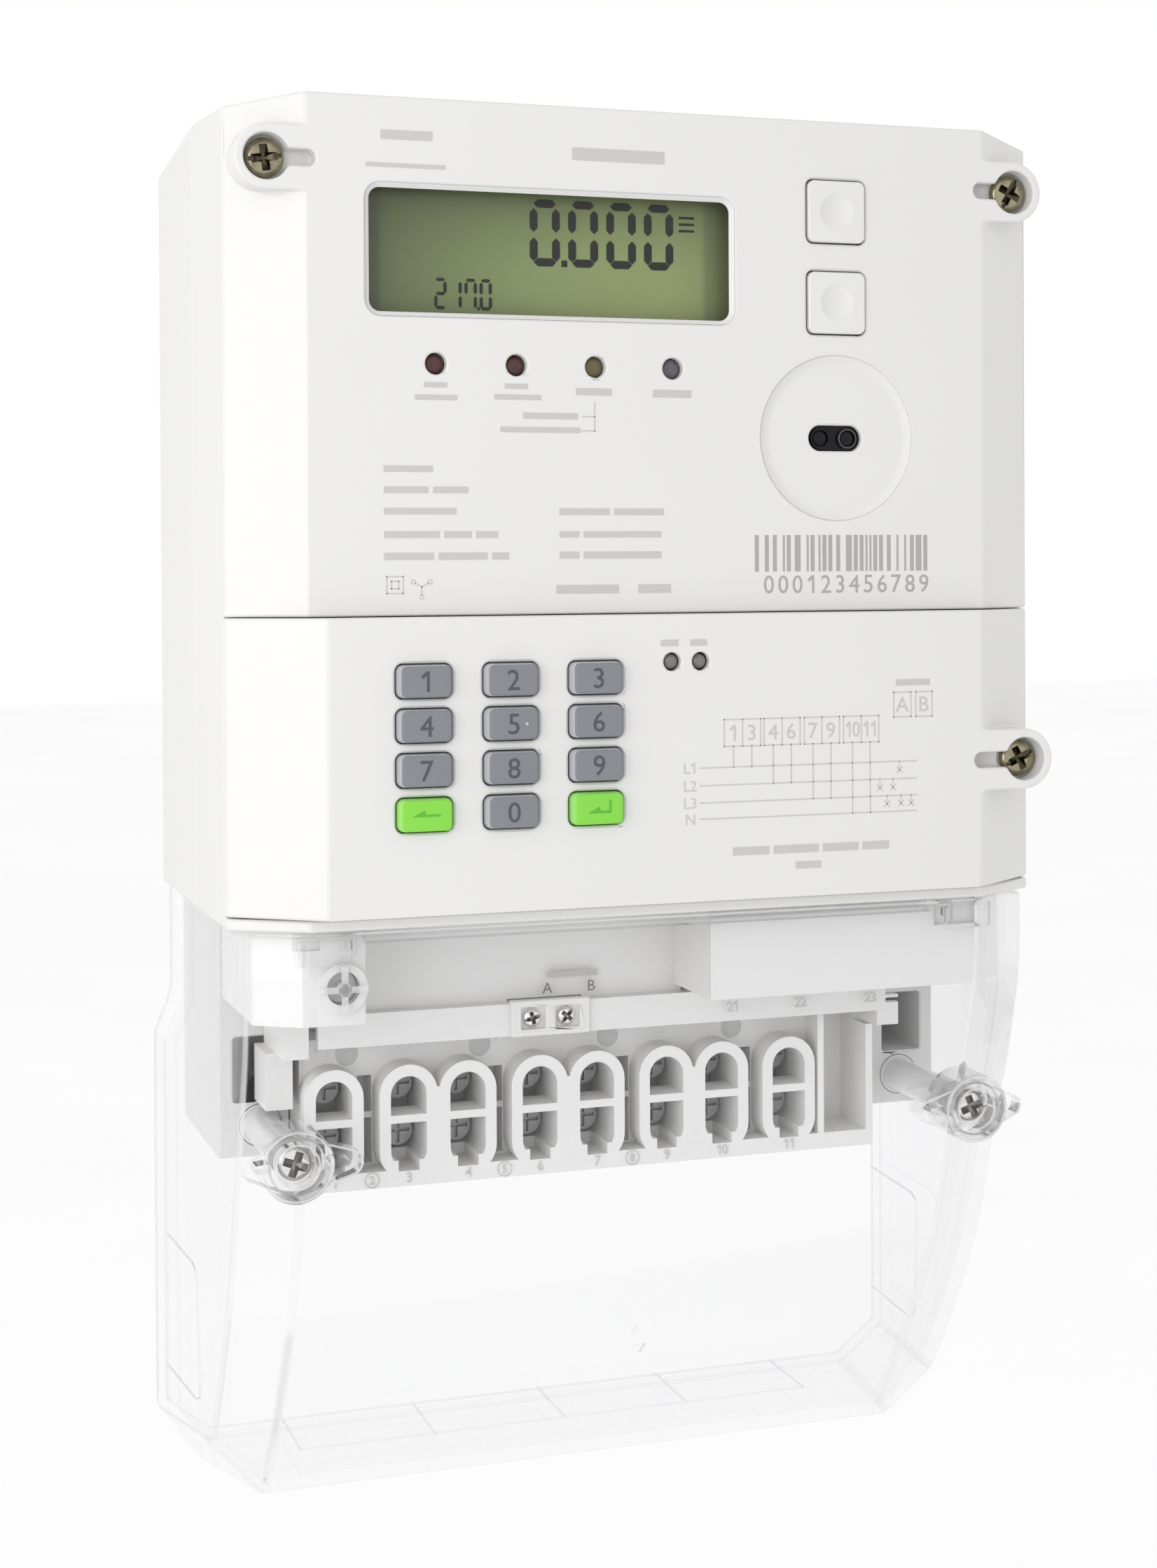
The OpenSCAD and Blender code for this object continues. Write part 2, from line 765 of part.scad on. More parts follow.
// A display button with a dished face, a retaining flange and a stem
module display_button(z) {
    color("white")
        difference() {
            union() {
                rounded(port_x, z, button_w, button_w, 1.4, fy - 0.5, fy + 4.5);
                rounded(port_x, z, button_w + 1, button_w + 1, 1.6, fy + wall + 0.1, fy + 4);
                rod(port_x, z, fy + 4, board_y - 5.2 - button_travel, 2);
            }
            translate([port_x, fy - 0.5 - 6.5, z])
                sphere(r = 7.5);
        }
}

module upper_display_button() {
    display_button(button_z[0]);
}

module lower_display_button() {
    display_button(button_z[1]);
}

module display_switches() {
    color("dimgray")
        for (b = button_z)
            span([port_x - 3, board_y - 5, b - 3], [port_x + 3, board_y, b + 3]);
}

// Key cap, retaining flange and contact stem of one key
module key(c, r, tone) {
    k = key_at(c, r);
    color(tone)
        union() {
            rounded(k[0], k[1], key_w, key_h, 1.5, ky - key_proud, ky + 3);
            rounded(k[0], k[1], key_w + 2, key_h + 1.4, 1.8, ky + 2.5, ky + 3.6);
            rod(k[0], k[1], ky + 3, -83.4 - key_travel, 2);
        }
}

module key_1() {
    key(0, 0, "slategray");
}

module key_2() {
    key(1, 0, "slategray");
}

module key_3() {
    key(2, 0, "slategray");
}

module key_4() {
    key(0, 1, "slategray");
}

module key_5() {
    key(1, 1, "slategray");
}

module key_6() {
    key(2, 1, "slategray");
}

module key_7() {
    key(0, 2, "slategray");
}

module key_8() {
    key(1, 2, "slategray");
}

module key_9() {
    key(2, 2, "slategray");
}

module key_clear() {
    key(0, 3, "limegreen");
}

module key_0() {
    key(1, 3, "slategray");
}

module key_enter() {
    key(2, 3, "limegreen");
}

module keypad_mat() {
    color("gray")
        span([-58, -83.2, zs - 42], [-10, pad_board_y - 0.1, zs - 7.5]);
}

module keypad_board() {
    color("darkgreen")
        difference() {
            span([-66, pad_board_y, zs - 48], [24, pad_board_y + board_t, zs - 3.5]);
            for (x = pad_screw_x, z = pad_screw_z)
                rod(x, z, pad_board_y - 1, pad_board_y + 3, 0.95);
        }
}

module keypad_plug() {
    color("black")
        span([-10, pad_board_y + 1.7, zs - 40.5], [10, -70.5, zs - 35.5]);
}

module keypad_socket() {
    color("ivory")
        difference() {
            span([-12, -71.5, zs - 42], [12, board_y, zs - 34]);
            span([-10.3, -74, zs - 40.8], [10.3, -68, zs - 35.2]);
        }
}

module link_leds() {
    color("dimgray")
        for (x = link_x)
            rod(x, link_z, ky + 1, pad_board_y, 1.5);
}

module keypad_board_screws() {
    color("silver")
        for (x = pad_screw_x, z = pad_screw_z)
            union() {
                rod(x, z, pad_board_y + board_t, pad_board_y + 3, 1.6);
                rod(x, z, pad_board_y - 2.5, pad_board_y + board_t + 0.1, 0.75);
            }
}

module main_board_screws() {
    color("silver")
        for (s = [-1, 1], z = board_screw_z)
            screw(s * board_screw_x, z, board_y - 2, 2.8, 2, 1.5, -52);
}

module main_cover_screws() {
    color("goldenrod")
        for (s = [-1, 1])
            screw(s * ear_x, ear_z, fy + 1.9, 3.65, 2.1, 2, -44);
}

module keypad_cover_screw() {
    color("goldenrod")
        screw(ear_x, key_ear_z, ky + 2.6, 3.65, 2.2, 2, -64);
}

module terminal_cover_screws() {
    color("silver")
        for (s = [-1, 1])
            screw(s * clamp_x, clamp_z, clamp_y + 2, 3.5, 2.6, 2, -31);
}

module link_terminal_block() {
    color("whitesmoke")
        difference() {
            span([link_block_x - 7.8, strip_y - 1, link_block_z - 3.1],
                [link_block_x + 7.8, panel_y + 2.6, link_block_z + 3.3]);
            for (s = [-1, 1]) {
                span([link_block_x + s * 3.7 - 2.6, strip_y - 2, link_block_z - 2.2],
                    [link_block_x + s * 3.7 + 2.6, strip_y + 0.6, link_block_z + 2.4]);
                rod(link_block_x + s * 3.7, link_block_z, strip_y, -56.6, 1.4);
            }
        }
}

module link_terminal_screws() {
    color("silver")
        for (s = [-1, 1])
            screw(link_block_x + s * 3.7, link_block_z, strip_y - 0.6, 2, 1.2, 1.3, -57);
}

module cover_plunger() {
    color("white")
        union() {
            rod(plunger_x, plunger_z, box_y + 1, box_y + 12, 3.15);
            rod(plunger_x, plunger_z, box_y - 1.4, box_y + 1.1, 1.2);
            rod(plunger_x, plunger_z, box_y + 11.9, box_y + 14, 1.5);
        }
}

// Points round a coil spring's wire, ring by ring
spring_rings = 72;
spring_sides = 8;
spring_turns = 6;
function spring_point(k, j, len) =
    let (a = 360 * spring_turns * k / spring_rings, b = 360 * j / spring_sides,
        rr = 2.4 + 0.3 * cos(b))
    [rr * cos(a), 0.4 + (len - 0.8) * k / spring_rings + 0.3 * sin(b), rr * sin(a)];

module plunger_spring() {
    len = 7;
    n = spring_sides;
    color("silver")
        translate([plunger_x, box_y + 12.2, plunger_z])
            polyhedron(
                points = [for (k = [0:spring_rings], j = [0:n - 1]) spring_point(k, j, len)],
                faces = concat(
                    [[for (j = [0:n - 1]) j]],
                    [for (k = [0:spring_rings - 1], j = [0:n - 1])
                        [k * n + j, (k + 1) * n + j, (k + 1) * n + (j + 1) % n, k * n + (j + 1) % n]],
                    [[for (j = [n - 1:-1:0]) spring_rings * n + j]]));
}

module plunger_switch() {
    color("black")
        union() {
            span([plunger_x - 6.5, box_y + 19.4, plunger_z - 4],
                [plunger_x + 2.4, box_y + 26, plunger_z + 4]);
            rod(plunger_x, plunger_z, box_y + 14.3, box_y + 19.5, 1);
        }
}

module supply_capacitors() {
    color("midnightblue")
        for (i = [0:2])
            rod(-48 + i * 16, zs + 12, board_y + 1.7, board_y + 23, 6);
}

module backup_battery() {
    color("seagreen")
        translate([30, board_y + 9.5, zs + 2])
            rotate([0, 90, 0])
                cylinder(r = 7.2, h = 26);
}

module buzzer() {
    color("black")
        rod(55, zs + 70, board_y - 8, board_y, 6);
}

base();
main_cover();
case_gasket();
keypad_cover();
terminal_cover();
terminal_shroud();
terminal_block();
display_window();
display_panel();
display_holder();
main_board();
indicator_light_pipes();
indicator_leds();
optical_window();
optical_steel_plate();
optical_diodes();
upper_display_button();
lower_display_button();
display_switches();
key_1();
key_2();
key_3();
key_4();
key_5();
key_6();
key_7();
key_8();
key_9();
key_clear();
key_0();
key_enter();
keypad_mat();
keypad_board();
keypad_plug();
keypad_socket();
link_leds();
keypad_board_screws();
main_board_screws();
main_cover_screws();
keypad_cover_screw();
terminal_cover_screws();
terminal_cages();
terminal_screws();
terminal_busbars();
current_transformers();
disconnect_relays();
link_terminal_block();
link_terminal_screws();
cover_plunger();
plunger_spring();
plunger_switch();
supply_capacitors();
backup_battery();
buzzer();
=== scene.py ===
import json
import math
import random
import bpy
import bmesh
from mathutils import Matrix, Quaternion, Vector

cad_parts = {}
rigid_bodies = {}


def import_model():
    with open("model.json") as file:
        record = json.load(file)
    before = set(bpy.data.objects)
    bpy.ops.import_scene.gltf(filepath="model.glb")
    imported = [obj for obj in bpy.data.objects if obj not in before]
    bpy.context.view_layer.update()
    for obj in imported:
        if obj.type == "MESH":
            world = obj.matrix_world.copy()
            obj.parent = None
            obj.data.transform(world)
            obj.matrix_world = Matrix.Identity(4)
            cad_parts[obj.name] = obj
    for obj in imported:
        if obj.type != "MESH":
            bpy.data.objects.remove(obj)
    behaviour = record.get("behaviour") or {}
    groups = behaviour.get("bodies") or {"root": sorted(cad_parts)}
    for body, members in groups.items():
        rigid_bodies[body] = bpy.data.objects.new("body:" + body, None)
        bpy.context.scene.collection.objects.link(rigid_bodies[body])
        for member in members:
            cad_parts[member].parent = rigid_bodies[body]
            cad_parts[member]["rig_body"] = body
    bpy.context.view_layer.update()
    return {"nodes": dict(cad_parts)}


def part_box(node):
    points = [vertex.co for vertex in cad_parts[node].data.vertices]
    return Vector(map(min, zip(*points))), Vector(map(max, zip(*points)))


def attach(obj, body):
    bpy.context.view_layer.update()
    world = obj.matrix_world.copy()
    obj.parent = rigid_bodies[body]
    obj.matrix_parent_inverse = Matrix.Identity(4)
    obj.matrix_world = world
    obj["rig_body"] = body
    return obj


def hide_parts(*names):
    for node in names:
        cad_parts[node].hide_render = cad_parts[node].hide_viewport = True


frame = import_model()
nodes = frame["nodes"]
print("frame loaded:", len(nodes), "nodes")


def low(node, axis):
    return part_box(node)[0]["xyz".index(axis)] * 1000    # sizes here are in millimetres


def high(node, axis):
    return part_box(node)[1]["xyz".index(axis)] * 1000


def middle(node, axis):
    return (low(node, axis) + high(node, axis)) / 2


def spot(node):     # x and z of a node's middle, then its front and back depth
    return middle(node, "x"), middle(node, "z"), low(node, "y"), high(node, "y")


def show(name, data):
    thing = bpy.data.objects.new(name, data)
    bpy.context.scene.collection.objects.link(thing)
    return thing


def soften(piece, name, width, segments, angle, clamp):     # rounded edges, their width in millimetres
    edge = piece.modifiers.new(name, "BEVEL")
    edge.width = width / 1000
    edge.segments = segments
    edge.limit_method = "ANGLE"
    edge.angle_limit = math.radians(angle)
    edge.use_clamp_overlap = clamp
    edge.harden_normals = True
    return edge


def weigh(piece):
    piece.modifiers.new("normals", "WEIGHTED_NORMAL").keep_sharp = True


seam = high("keypad_cover", "z") + 0.2          # where the main cover meets the keypad cover
bottom = low("terminal_cover", "z")
upperFace = low("main_cover", "y")
keypadFace = low("keypad_cover", "y")
coverTop = high("terminal_cover", "z")
earX = 78.43
clampX = middle("terminal_cover_screws", "x") + 72.35
clampZ = middle("terminal_cover_screws", "z")


# materials are written as sums of sockets

class Wire:     # a socket that can be used in sums
    def __init__(self, paint, socket):
        self.paint = paint
        self.socket = socket

    def __add__(self, other):
        return self.paint.sum("ADD", self, other)

    def __radd__(self, other):
        return self.paint.sum("ADD", other, self)

    def __mul__(self, other):
        return self.paint.sum("MULTIPLY", self, other)

    def __rmul__(self, other):
        return self.paint.sum("MULTIPLY", other, self)


class Paint:    # one node material
    def __init__(self, name):
        self.material = bpy.data.materials.new(name)
        self.material.use_nodes = True
        self.tree = self.material.node_tree
        self.tree.nodes.clear()
        self.place = self.add("TexCoord", out="Object")

    def add(self, kind, settings=None, values=None, out=0):
        node = self.tree.nodes.new("ShaderNode" + kind)
        for name, value in (settings or {}).items():
            if name == "stops":
                self.setStops(node.color_ramp, value)
            else:
                setattr(node, name, value)
        for name, value in (values or {}).items():
            self.feed(node.inputs[name], value)
        return Wire(self, node.outputs[out]) if len(node.outputs) else None

    def feed(self, socket, value):
        if isinstance(value, Wire):
            self.tree.links.new(value.socket, socket)
        else:
            socket.default_value = value

    def setStops(self, ramp, stops):
        while len(ramp.elements) < len(stops):
            ramp.elements.new(0.5)
        for element, (position, colour) in zip(ramp.elements, stops):
            element.position = position
            element.color = colour

    def sum(self, operation, first, second):
        return self.add("Math", {"operation": operation}, {0: first, 1: second})

    def noise(self, scale, detail=2.0, stretch=(1, 1, 1)):
        where = self.add("Mapping", {}, {"Vector": self.place, "Scale": stretch})
        return self.add("TexNoise", {}, {"Vector": where, "Scale": scale, "Detail": detail})

    def ramp(self, factor, stops):
        return self.add("ValToRGB", {"stops": stops}, {"Fac": factor})

    def blend(self, factor, first, second):
        return self.add("Mix", {"data_type": "RGBA"}, {0: factor, 6: first, 7: second}, out=2)

    def relief(self, height, strength, distance):
        return self.add("Bump", {}, {"Height": height, "Strength": strength, "Distance": distance})

    def surface(self, values):
        return self.add("BsdfPrincipled", {}, values)

    def finish(self, shader):
        self.add("OutputMaterial", {}, {"Surface": shader})
        return self.material


def grey(value):
    return (value, value, value, 1)


def fromScreen(red, green, blue):     # a colour given as 0-255 screen values
    return tuple((c / 255) ** 2.2 for c in (red, green, blue)) + (1,)


def scaled(colour, factor):
    return tuple(min(c * factor, 1) for c in colour[:3]) + (1,)


def plastic(name, colour, roughness, relief=0.05, grainScale=1600, cloud=0.012):
    paint = Paint(name)
    clouds = paint.noise(26, 3)
    grain = paint.noise(grainScale, 2)
    values = {
        "Base Color": paint.blend(clouds, scaled(colour, 1 - cloud), scaled(colour, 1 + cloud)),
        "Roughness": roughness - 0.05 + clouds * 0.1,
        "Normal": paint.relief(grain, relief, 0.0001),
        "IOR": 1.5,
    }
    return paint.finish(paint.surface(values))


def metal(name, colour, roughness, stain=0.25, scratchScale=900):
    paint = Paint(name)
    stains = paint.noise(420, 4)
    scratches = paint.noise(scratchScale, 3, (1, 1, 0.12))
    values = {
        "Base Color": paint.blend(stains, scaled(colour, 1 - stain), scaled(colour, 1 + stain)),
        "Metallic": 1.0,
        "Roughness": roughness - 0.08 + scratches * 0.16,
        "Normal": paint.relief(scratches, 0.12, 0.00005),
    }
    return paint.finish(paint.surface(values))


def displayGlass(name):     # pale green liquid crystal with painted shade and light: darker towards the upper left and the edges, painted frame shadow at both ends, and a lighter right side
    # the edge colour is painted shade, and the third, lighter colour is painted light
    look = {"middle": fromScreen(138, 150, 105), "edge": fromScreen(70, 78, 56),
        "paintedLight": fromScreen(164, 167, 114)}
    paint = Paint(name)
    first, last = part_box("display_panel")
    centre = (first + last) / 2
    offset = paint.add("VectorMath", {"operation": "SUBTRACT"},
        {0: paint.place, 1: (centre.x + 0.012, centre.y, centre.z - 0.005)})
    spread = paint.add("VectorMath", {"operation": "MULTIPLY"}, {0: offset, 1: (22, 0, 52)})
    distance = paint.add("VectorMath", {"operation": "LENGTH"}, {0: spread}, out="Value")
    parts = paint.add("SeparateXYZ", {}, {0: offset}, out="X")
    # painted shade that grows from the middle towards the edges, strongest at the upper left
    shade = paint.ramp(distance * 0.8, [(0.25, grey(0)), (1.0, grey(1))])
    # painted light: the colour lightens towards the right
    side = paint.ramp(parts * 16 + 0.4, [(0.2, grey(0)), (0.95, grey(1))])
    cells = paint.noise(3000, 0)
    ground = paint.blend(side * 0.7, look["middle"], look["paintedLight"])
    reach = paint.sum("ABSOLUTE", parts + 0.0122, 0.0)      # distance from the middle of the glass
    # bands at both ends darkened towards black: painted shadow of the window frame
    frameShadow = paint.ramp(reach * 25, [(0.82, grey(0)), (0.85, grey(1))])
    values = {
        "Base Color": paint.blend(frameShadow * 0.35, paint.blend(shade * 0.85, ground, look["edge"]), grey(0.03)),
        "Roughness": 0.3 + cells * 0.1,
        "Normal": paint.relief(cells, 0.04, 0.00003),
    }
    return paint.finish(paint.surface(values))


def lens(name, colour, shine=0.06, specular=0.5):     # coloured clear resin over a dark inside, with a painted sheen: a lighter copy of the colour is mixed in towards the rim
    paint = Paint(name)
    depth = paint.add("LayerWeight", {}, {"Blend": 0.35}, out="Facing")
    swirl = paint.noise(900, 2)
    body = paint.surface({
        "Base Color": paint.blend(swirl, scaled(colour, 0.75), scaled(colour, 1.3)),
        "Roughness": shine + swirl * 0.05,
        "Coat Weight": (0.6 + swirl * 0.2) * specular,
        "Coat Roughness": 0.03,
        "Specular IOR Level": specular,
    })
    # painted sheen: the resin colour made half again as light, mixed in where the dome turns away from view
    rim = paint.surface({
        "Base Color": scaled(colour, 1.5),
        "Roughness": 0.12,
        "Specular IOR Level": specular,
    })
    return paint.finish(paint.add("MixShader", {}, {0: depth * 0.5, 1: body, 2: rim}))


def clear(name, tint, haze, hazeAmount, gloss=0.3, shine=0.03):    # see-through with a glossy skin
    paint = Paint(name)
    flow = paint.noise(18, 2, (1, 1, 0.3))
    through = paint.add("BsdfTransparent", {}, {"Color": tint})
    skin = paint.surface({"Base Color": grey(0.9), "Roughness": shine + flow * 0.03, "Metallic": 1.0})
    milk = paint.surface({"Base Color": haze, "Roughness": 0.25 + flow * 0.1})
    fresnel = paint.add("Fresnel", {}, {"IOR": 1.45})
    facing = paint.add("LayerWeight", {}, {"Blend": 0.25}, out="Facing")
    # the haze is the plastic's own, and its growth towards grazing view is painted shade that outlines the
    # walls
    inner = paint.add("MixShader", {}, {0: hazeAmount + facing * hazeAmount * 2.5, 1: through, 2: milk})
    return paint.finish(paint.add("MixShader", {}, {0: fresnel * gloss, 1: inner, 2: skin}))


case = plastic("casePlastic", (0.68, 0.676, 0.668, 1), 0.42)
# lighter copies of the case plastic: painted light that lifts the shade beneath the clear cover
shroud = plastic("shroudPlastic", (0.78, 0.774, 0.764, 1), 0.4)
litTerminals = plastic("terminalPlastic", (0.82, 0.814, 0.804, 1), 0.5, 0.08)
ink = plastic("printInk", (0.5, 0.49, 0.475, 1), 0.5, 0.02, 4000)
strongInk = plastic("strongPrintInk", (0.36, 0.35, 0.335, 1), 0.5, 0.02, 4000)
darkInk = plastic("darkPrintInk", (0.2, 0.2, 0.19, 1), 0.5, 0.02, 4000)
# a darker copy of the plastic for moulded numbers and ejector marks: painted shade
markShade = plastic("paintedShadeMarkPlastic", (0.6, 0.595, 0.59, 1), 0.4)
keyFace = plastic("keyFaceRubber", fromScreen(121, 123, 128), 0.5, 0.12, 2400, 0.05)
keySide = plastic("keySideRubber", fromScreen(172, 173, 178), 0.45, 0.08, 2400, 0.04)
keyMark = plastic("keyMarkPaint", fromScreen(72, 75, 84), 0.5, 0.02, 4000)
greenFace = plastic("greenFaceRubber", fromScreen(124, 202, 66), 0.45, 0.1, 2400, 0.04)
greenSide = plastic("greenSideRubber", fromScreen(150, 212, 110), 0.45, 0.08, 2400, 0.04)
greenMark = plastic("greenMarkPaint", fromScreen(84, 168, 40), 0.5, 0.02, 4000)
digits = plastic("displayDigits", fromScreen(8, 9, 8), 0.5, 0.02, 4000)
zinc = metal("yellowZinc", (0.33, 0.295, 0.2, 1), 0.2, 0.75)
# darker copies of the plating for the screw recesses: painted shade
shadedZincRecess = metal("shadedZincRecess", (0.085, 0.075, 0.05, 1), 0.3, 0.6)
shadedNickelRecess = metal("shadedNickelRecess", (0.3, 0.29, 0.28, 1), 0.3, 0.3)
nickel = metal("nickelPlate", (0.86, 0.84, 0.81, 1), 0.22, 0.12)
steel = metal("brightSteel", (0.62, 0.62, 0.62, 1), 0.32, 0.1)
# rough steel whose dark colour is painted shade for screws and cages deep in the terminal wells
dullShadedSteel = metal("dullShadedSteel", (0.36, 0.355, 0.35, 1), 0.5, 0.12)
copper = metal("copper", (0.75, 0.42, 0.28, 1), 0.34, 0.15)
black = plastic("blackPlastic", grey(0.02), 0.45, 0.08)
rubber = plastic("sealRubber", grey(0.05), 0.7, 0.15)
mat = plastic("matRubber", grey(0.3), 0.6, 0.12)
board = plastic("boardLacquer", (0.03, 0.16, 0.06, 1), 0.3, 0.1, 700, 0.15)
blue = plastic("bluePlastic", (0.04, 0.1, 0.4, 1), 0.4)
wrap = plastic("greenWrap", (0.06, 0.3, 0.16, 1), 0.35)
smoked = lens("smokedWindow", (0.006, 0.0055, 0.007, 1), 0.06, 0.16)
# a lighter grey resin for one ring: a painted glint
paintedGlintRing = lens("paintedGlintRing", (0.05, 0.05, 0.052, 1), 0.08, 0.6)
redLens = lens("redLens", (0.05, 0.009, 0.009, 1))
amberLens = lens("amberLens", (0.1, 0.08, 0.03, 1))
violetLens = lens("violetLens", (0.09, 0.075, 0.1, 1))
greyLens = lens("greyLens", (0.16, 0.15, 0.15, 1))
display = displayGlass("displayGlass")
window = clear("windowPlastic", (0.97, 0.98, 0.95, 1), grey(0.8), 0.0, 0.35)
clearWall = clear("clearWall", (0.995, 0.995, 0.998, 1), (0.9, 0.9, 0.95, 1), 0.003, 0.3)
# a greyer, hazier copy of the clear plastic for bevels and ridges: painted shade that outlines the edges
shadedClearEdge = clear("shadedClearEdge", (0.976, 0.976, 0.979, 1), (0.92, 0.92, 0.935, 1), 0.03, 0.6)
# a whiter, milkier copy of the clear plastic for bright lines: painted highlights
paintedHighlight = clear("paintedHighlightEdge", (0.985, 0.985, 0.988, 1), grey(0.98), 0.35, 0.9)
milkyPost = clear("milkyPost", grey(0.99), grey(0.96), 0.32, 0.5, 0.12)
print("materials made:", len(bpy.data.materials))


# every own piece is built as a list of points and faces, in millimetres

def bands(rows, count, closedRows=False, closedRing=True):       # faces between rows of equal length
    faces = []
    for k in range(rows if closedRows else rows - 1):
        m = (k + 1) % rows
        for i in range(count if closedRing else count - 1):
            j = (i + 1) % count
            faces.append([k * count + i, k * count + j, m * count + j, m * count + i])
    return faces


class Form:     # points and faces of one piece
    def __init__(self):
        self.points = []
        self.faces = []
        self.kinds = []

    def put(self, points, faces, kind=0):
        start = len(self.points)
        self.points += [tuple(p) for p in points]
        self.faces += [[start + i for i in face] for face in faces]
        self.kinds += [kind] * len(faces)

    def loft(self, rings, kind=0, capKind=None):      # rings of equal length, closed at both ends
        count = len(rings[0])
        self.put([p for ring in rings for p in ring], bands(len(rings), count), kind)
        base = len(self.points) - count * len(rings)
        self.faces.append([base + i for i in range(count)])
        self.kinds.append(kind if capKind is None else capKind)
        self.faces.append([base + (len(rings) - 1) * count + i for i in range(count)])
        self.kinds.append(kind)

    def plate(self, outline, front, back, kind=0):      # an (x, z) outline between two depths
        self.loft([[(x, y, z) for x, z in outline] for y in (front, back)], kind)

    def bar(self, x0, x1, z0, z1, front, back, kind=0):
        self.plate([(x0, z0), (x1, z0), (x1, z1), (x0, z1)], front, back, kind)

    def lathe(self, x, z, profile, sides=48, kind=0):   # (radius, y) pairs turned about an axis along y
        turn = [2 * math.pi * i / sides for i in range(sides)]
        profile = [(max(radius, 0.001), y) for radius, y in profile]
        self.loft([[(x + r * math.cos(a), y, z + r * math.sin(a)) for a in turn] for r, y in profile], kind)

    def tube(self, x, z, profile, sides=48, kind=0):    # a closed (radius, y) section turned the same way
        points = []
        for i in range(sides):
            a = 2 * math.pi * i / sides
            points += [(x + radius * math.cos(a), y, z + radius * math.sin(a)) for radius, y in profile]
        self.put(points, bands(sides, len(profile), True), kind)

    def mesh(self, name):
        data = bpy.data.meshes.new(name)
        data.from_pydata([[c / 1000 for c in p] for p in self.points], [], self.faces)
        data.polygons.foreach_set("material_index", self.kinds)
        form = bmesh.new()
        form.from_mesh(data)
        bmesh.ops.remove_doubles(form, verts=form.verts, dist=1e-7)
        bmesh.ops.recalc_face_normals(form, faces=form.faces)
        form.to_mesh(data)
        form.free()
        return data

    def build(self, name, *choice):      # takes what dressed takes after the name
        return dressed(self.mesh(name), name, *choice)


def dressed(data, name, materials, body, slot, stands=(), smooth=32):
    data.shade_smooth()
    data.set_sharp_from_angle(angle=math.radians(smooth))
    for material in materials:
        data.materials.append(material)
    piece = show(name, data)
    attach(piece, body)
    if stands:
        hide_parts(*stands)
    return piece


def roundedOutline(x, z, width, height, radius, steps=6):
    points = []
    for sx, sz, start in ((1, 1, 0), (-1, 1, 90), (-1, -1, 180), (1, -1, 270)):
        for k in range(steps + 1):
            a = math.radians(start + 90 * k / steps)
            points.append((x + sx * (width / 2 - radius) + radius * math.cos(a),
                z + sz * (height / 2 - radius) + radius * math.sin(a)))
    return points


def slotOutline(x0, x1, z, radius, steps=12):
    turn = [math.pi * k / steps for k in range(steps + 1)]
    right = [(x1 + radius * math.sin(a), z - radius * math.cos(a)) for a in turn]
    return right + [(x0 - radius * math.sin(a), z + radius * math.cos(a)) for a in turn]


def glyph(form, sign, x, z, height, front, thickness, kind, squeeze):
    if sign == "1":         # a stem with a flag
        stem = height * 0.065
        outline = [(-0.28, 0.26), (-0.02, 0.5), (0.13, 0.5), (0.13, -0.5), (0, -0.5), (0, 0.3), (-0.2, 0.13)]
        form.plate([(x + px * height * squeeze + stem * 0.3, z + pz * height) for px, pz in outline],
            front, front + thickness, kind)
        return
    curve = bpy.data.curves.new("figure", "FONT")
    curve.body = sign
    curve.extrude = 0.5
    curve.resolution_u = 3
    holder = bpy.data.objects.new("figure", curve)
    data = bpy.data.meshes.new_from_object(holder)
    xs = [v.co.x for v in data.vertices]
    ys = [v.co.y for v in data.vertices]
    scale = height / (max(ys) - min(ys))
    middleX = (max(xs) + min(xs)) / 2
    middleY = (max(ys) + min(ys)) / 2
    points = [(x + (v.co.x - middleX) * scale * squeeze, front + thickness * (0.5 - v.co.z),
        z + (v.co.y - middleY) * scale) for v in data.vertices]
    form.put(points, [list(p.vertices) for p in data.polygons], kind)
    bpy.data.objects.remove(holder)
    bpy.data.curves.remove(curve)
    bpy.data.meshes.remove(data)


def figures(form, text, x, z, height, front, thickness=0.1, kind=0, squeeze=1):    # generic numbers and signs
    pitch = height * 0.66 * squeeze
    for i, sign in enumerate(text):
        glyph(form, sign, x + (i - (len(text) - 1) / 2) * pitch, z, height, front, thickness, kind, squeeze)


def hoop(form, section, kind=0):        # outlines of equal length at given depths, joined into a closed ring
    points = [(x, y, z) for outline, y in section for x, z in outline]
    form.put(points, bands(len(section), len(section[0][0]), True), kind)


def ringPlate(form, outer, inner, front, back, kind=0):
    hoop(form, [(outer, front), (outer, back), (inner, back), (inner, front)], kind)


# the moulded shells are the CAD nodes with softened edges

edgeRadius = {      # radius, finish, slot, and whether its faces are split into triangles first
    "base": (0.5, case, "case_plastic", False),
    "main_cover": (0.5, case, "case_plastic", False),
    "keypad_cover": (0.5, case, "case_plastic", False),
    "upper_display_button": (0.3, case, "case_plastic", False),
    "lower_display_button": (0.3, case, "case_plastic", False),
    "terminal_shroud": (0.25, shroud, "shroud_plastic", True),
    "terminal_block": (0.25, litTerminals, "terminal_plastic", True),
    "link_terminal_block": (0.25, shroud, "shroud_plastic", False),
    "cover_plunger": (0.2, case, "case_plastic", False),
}


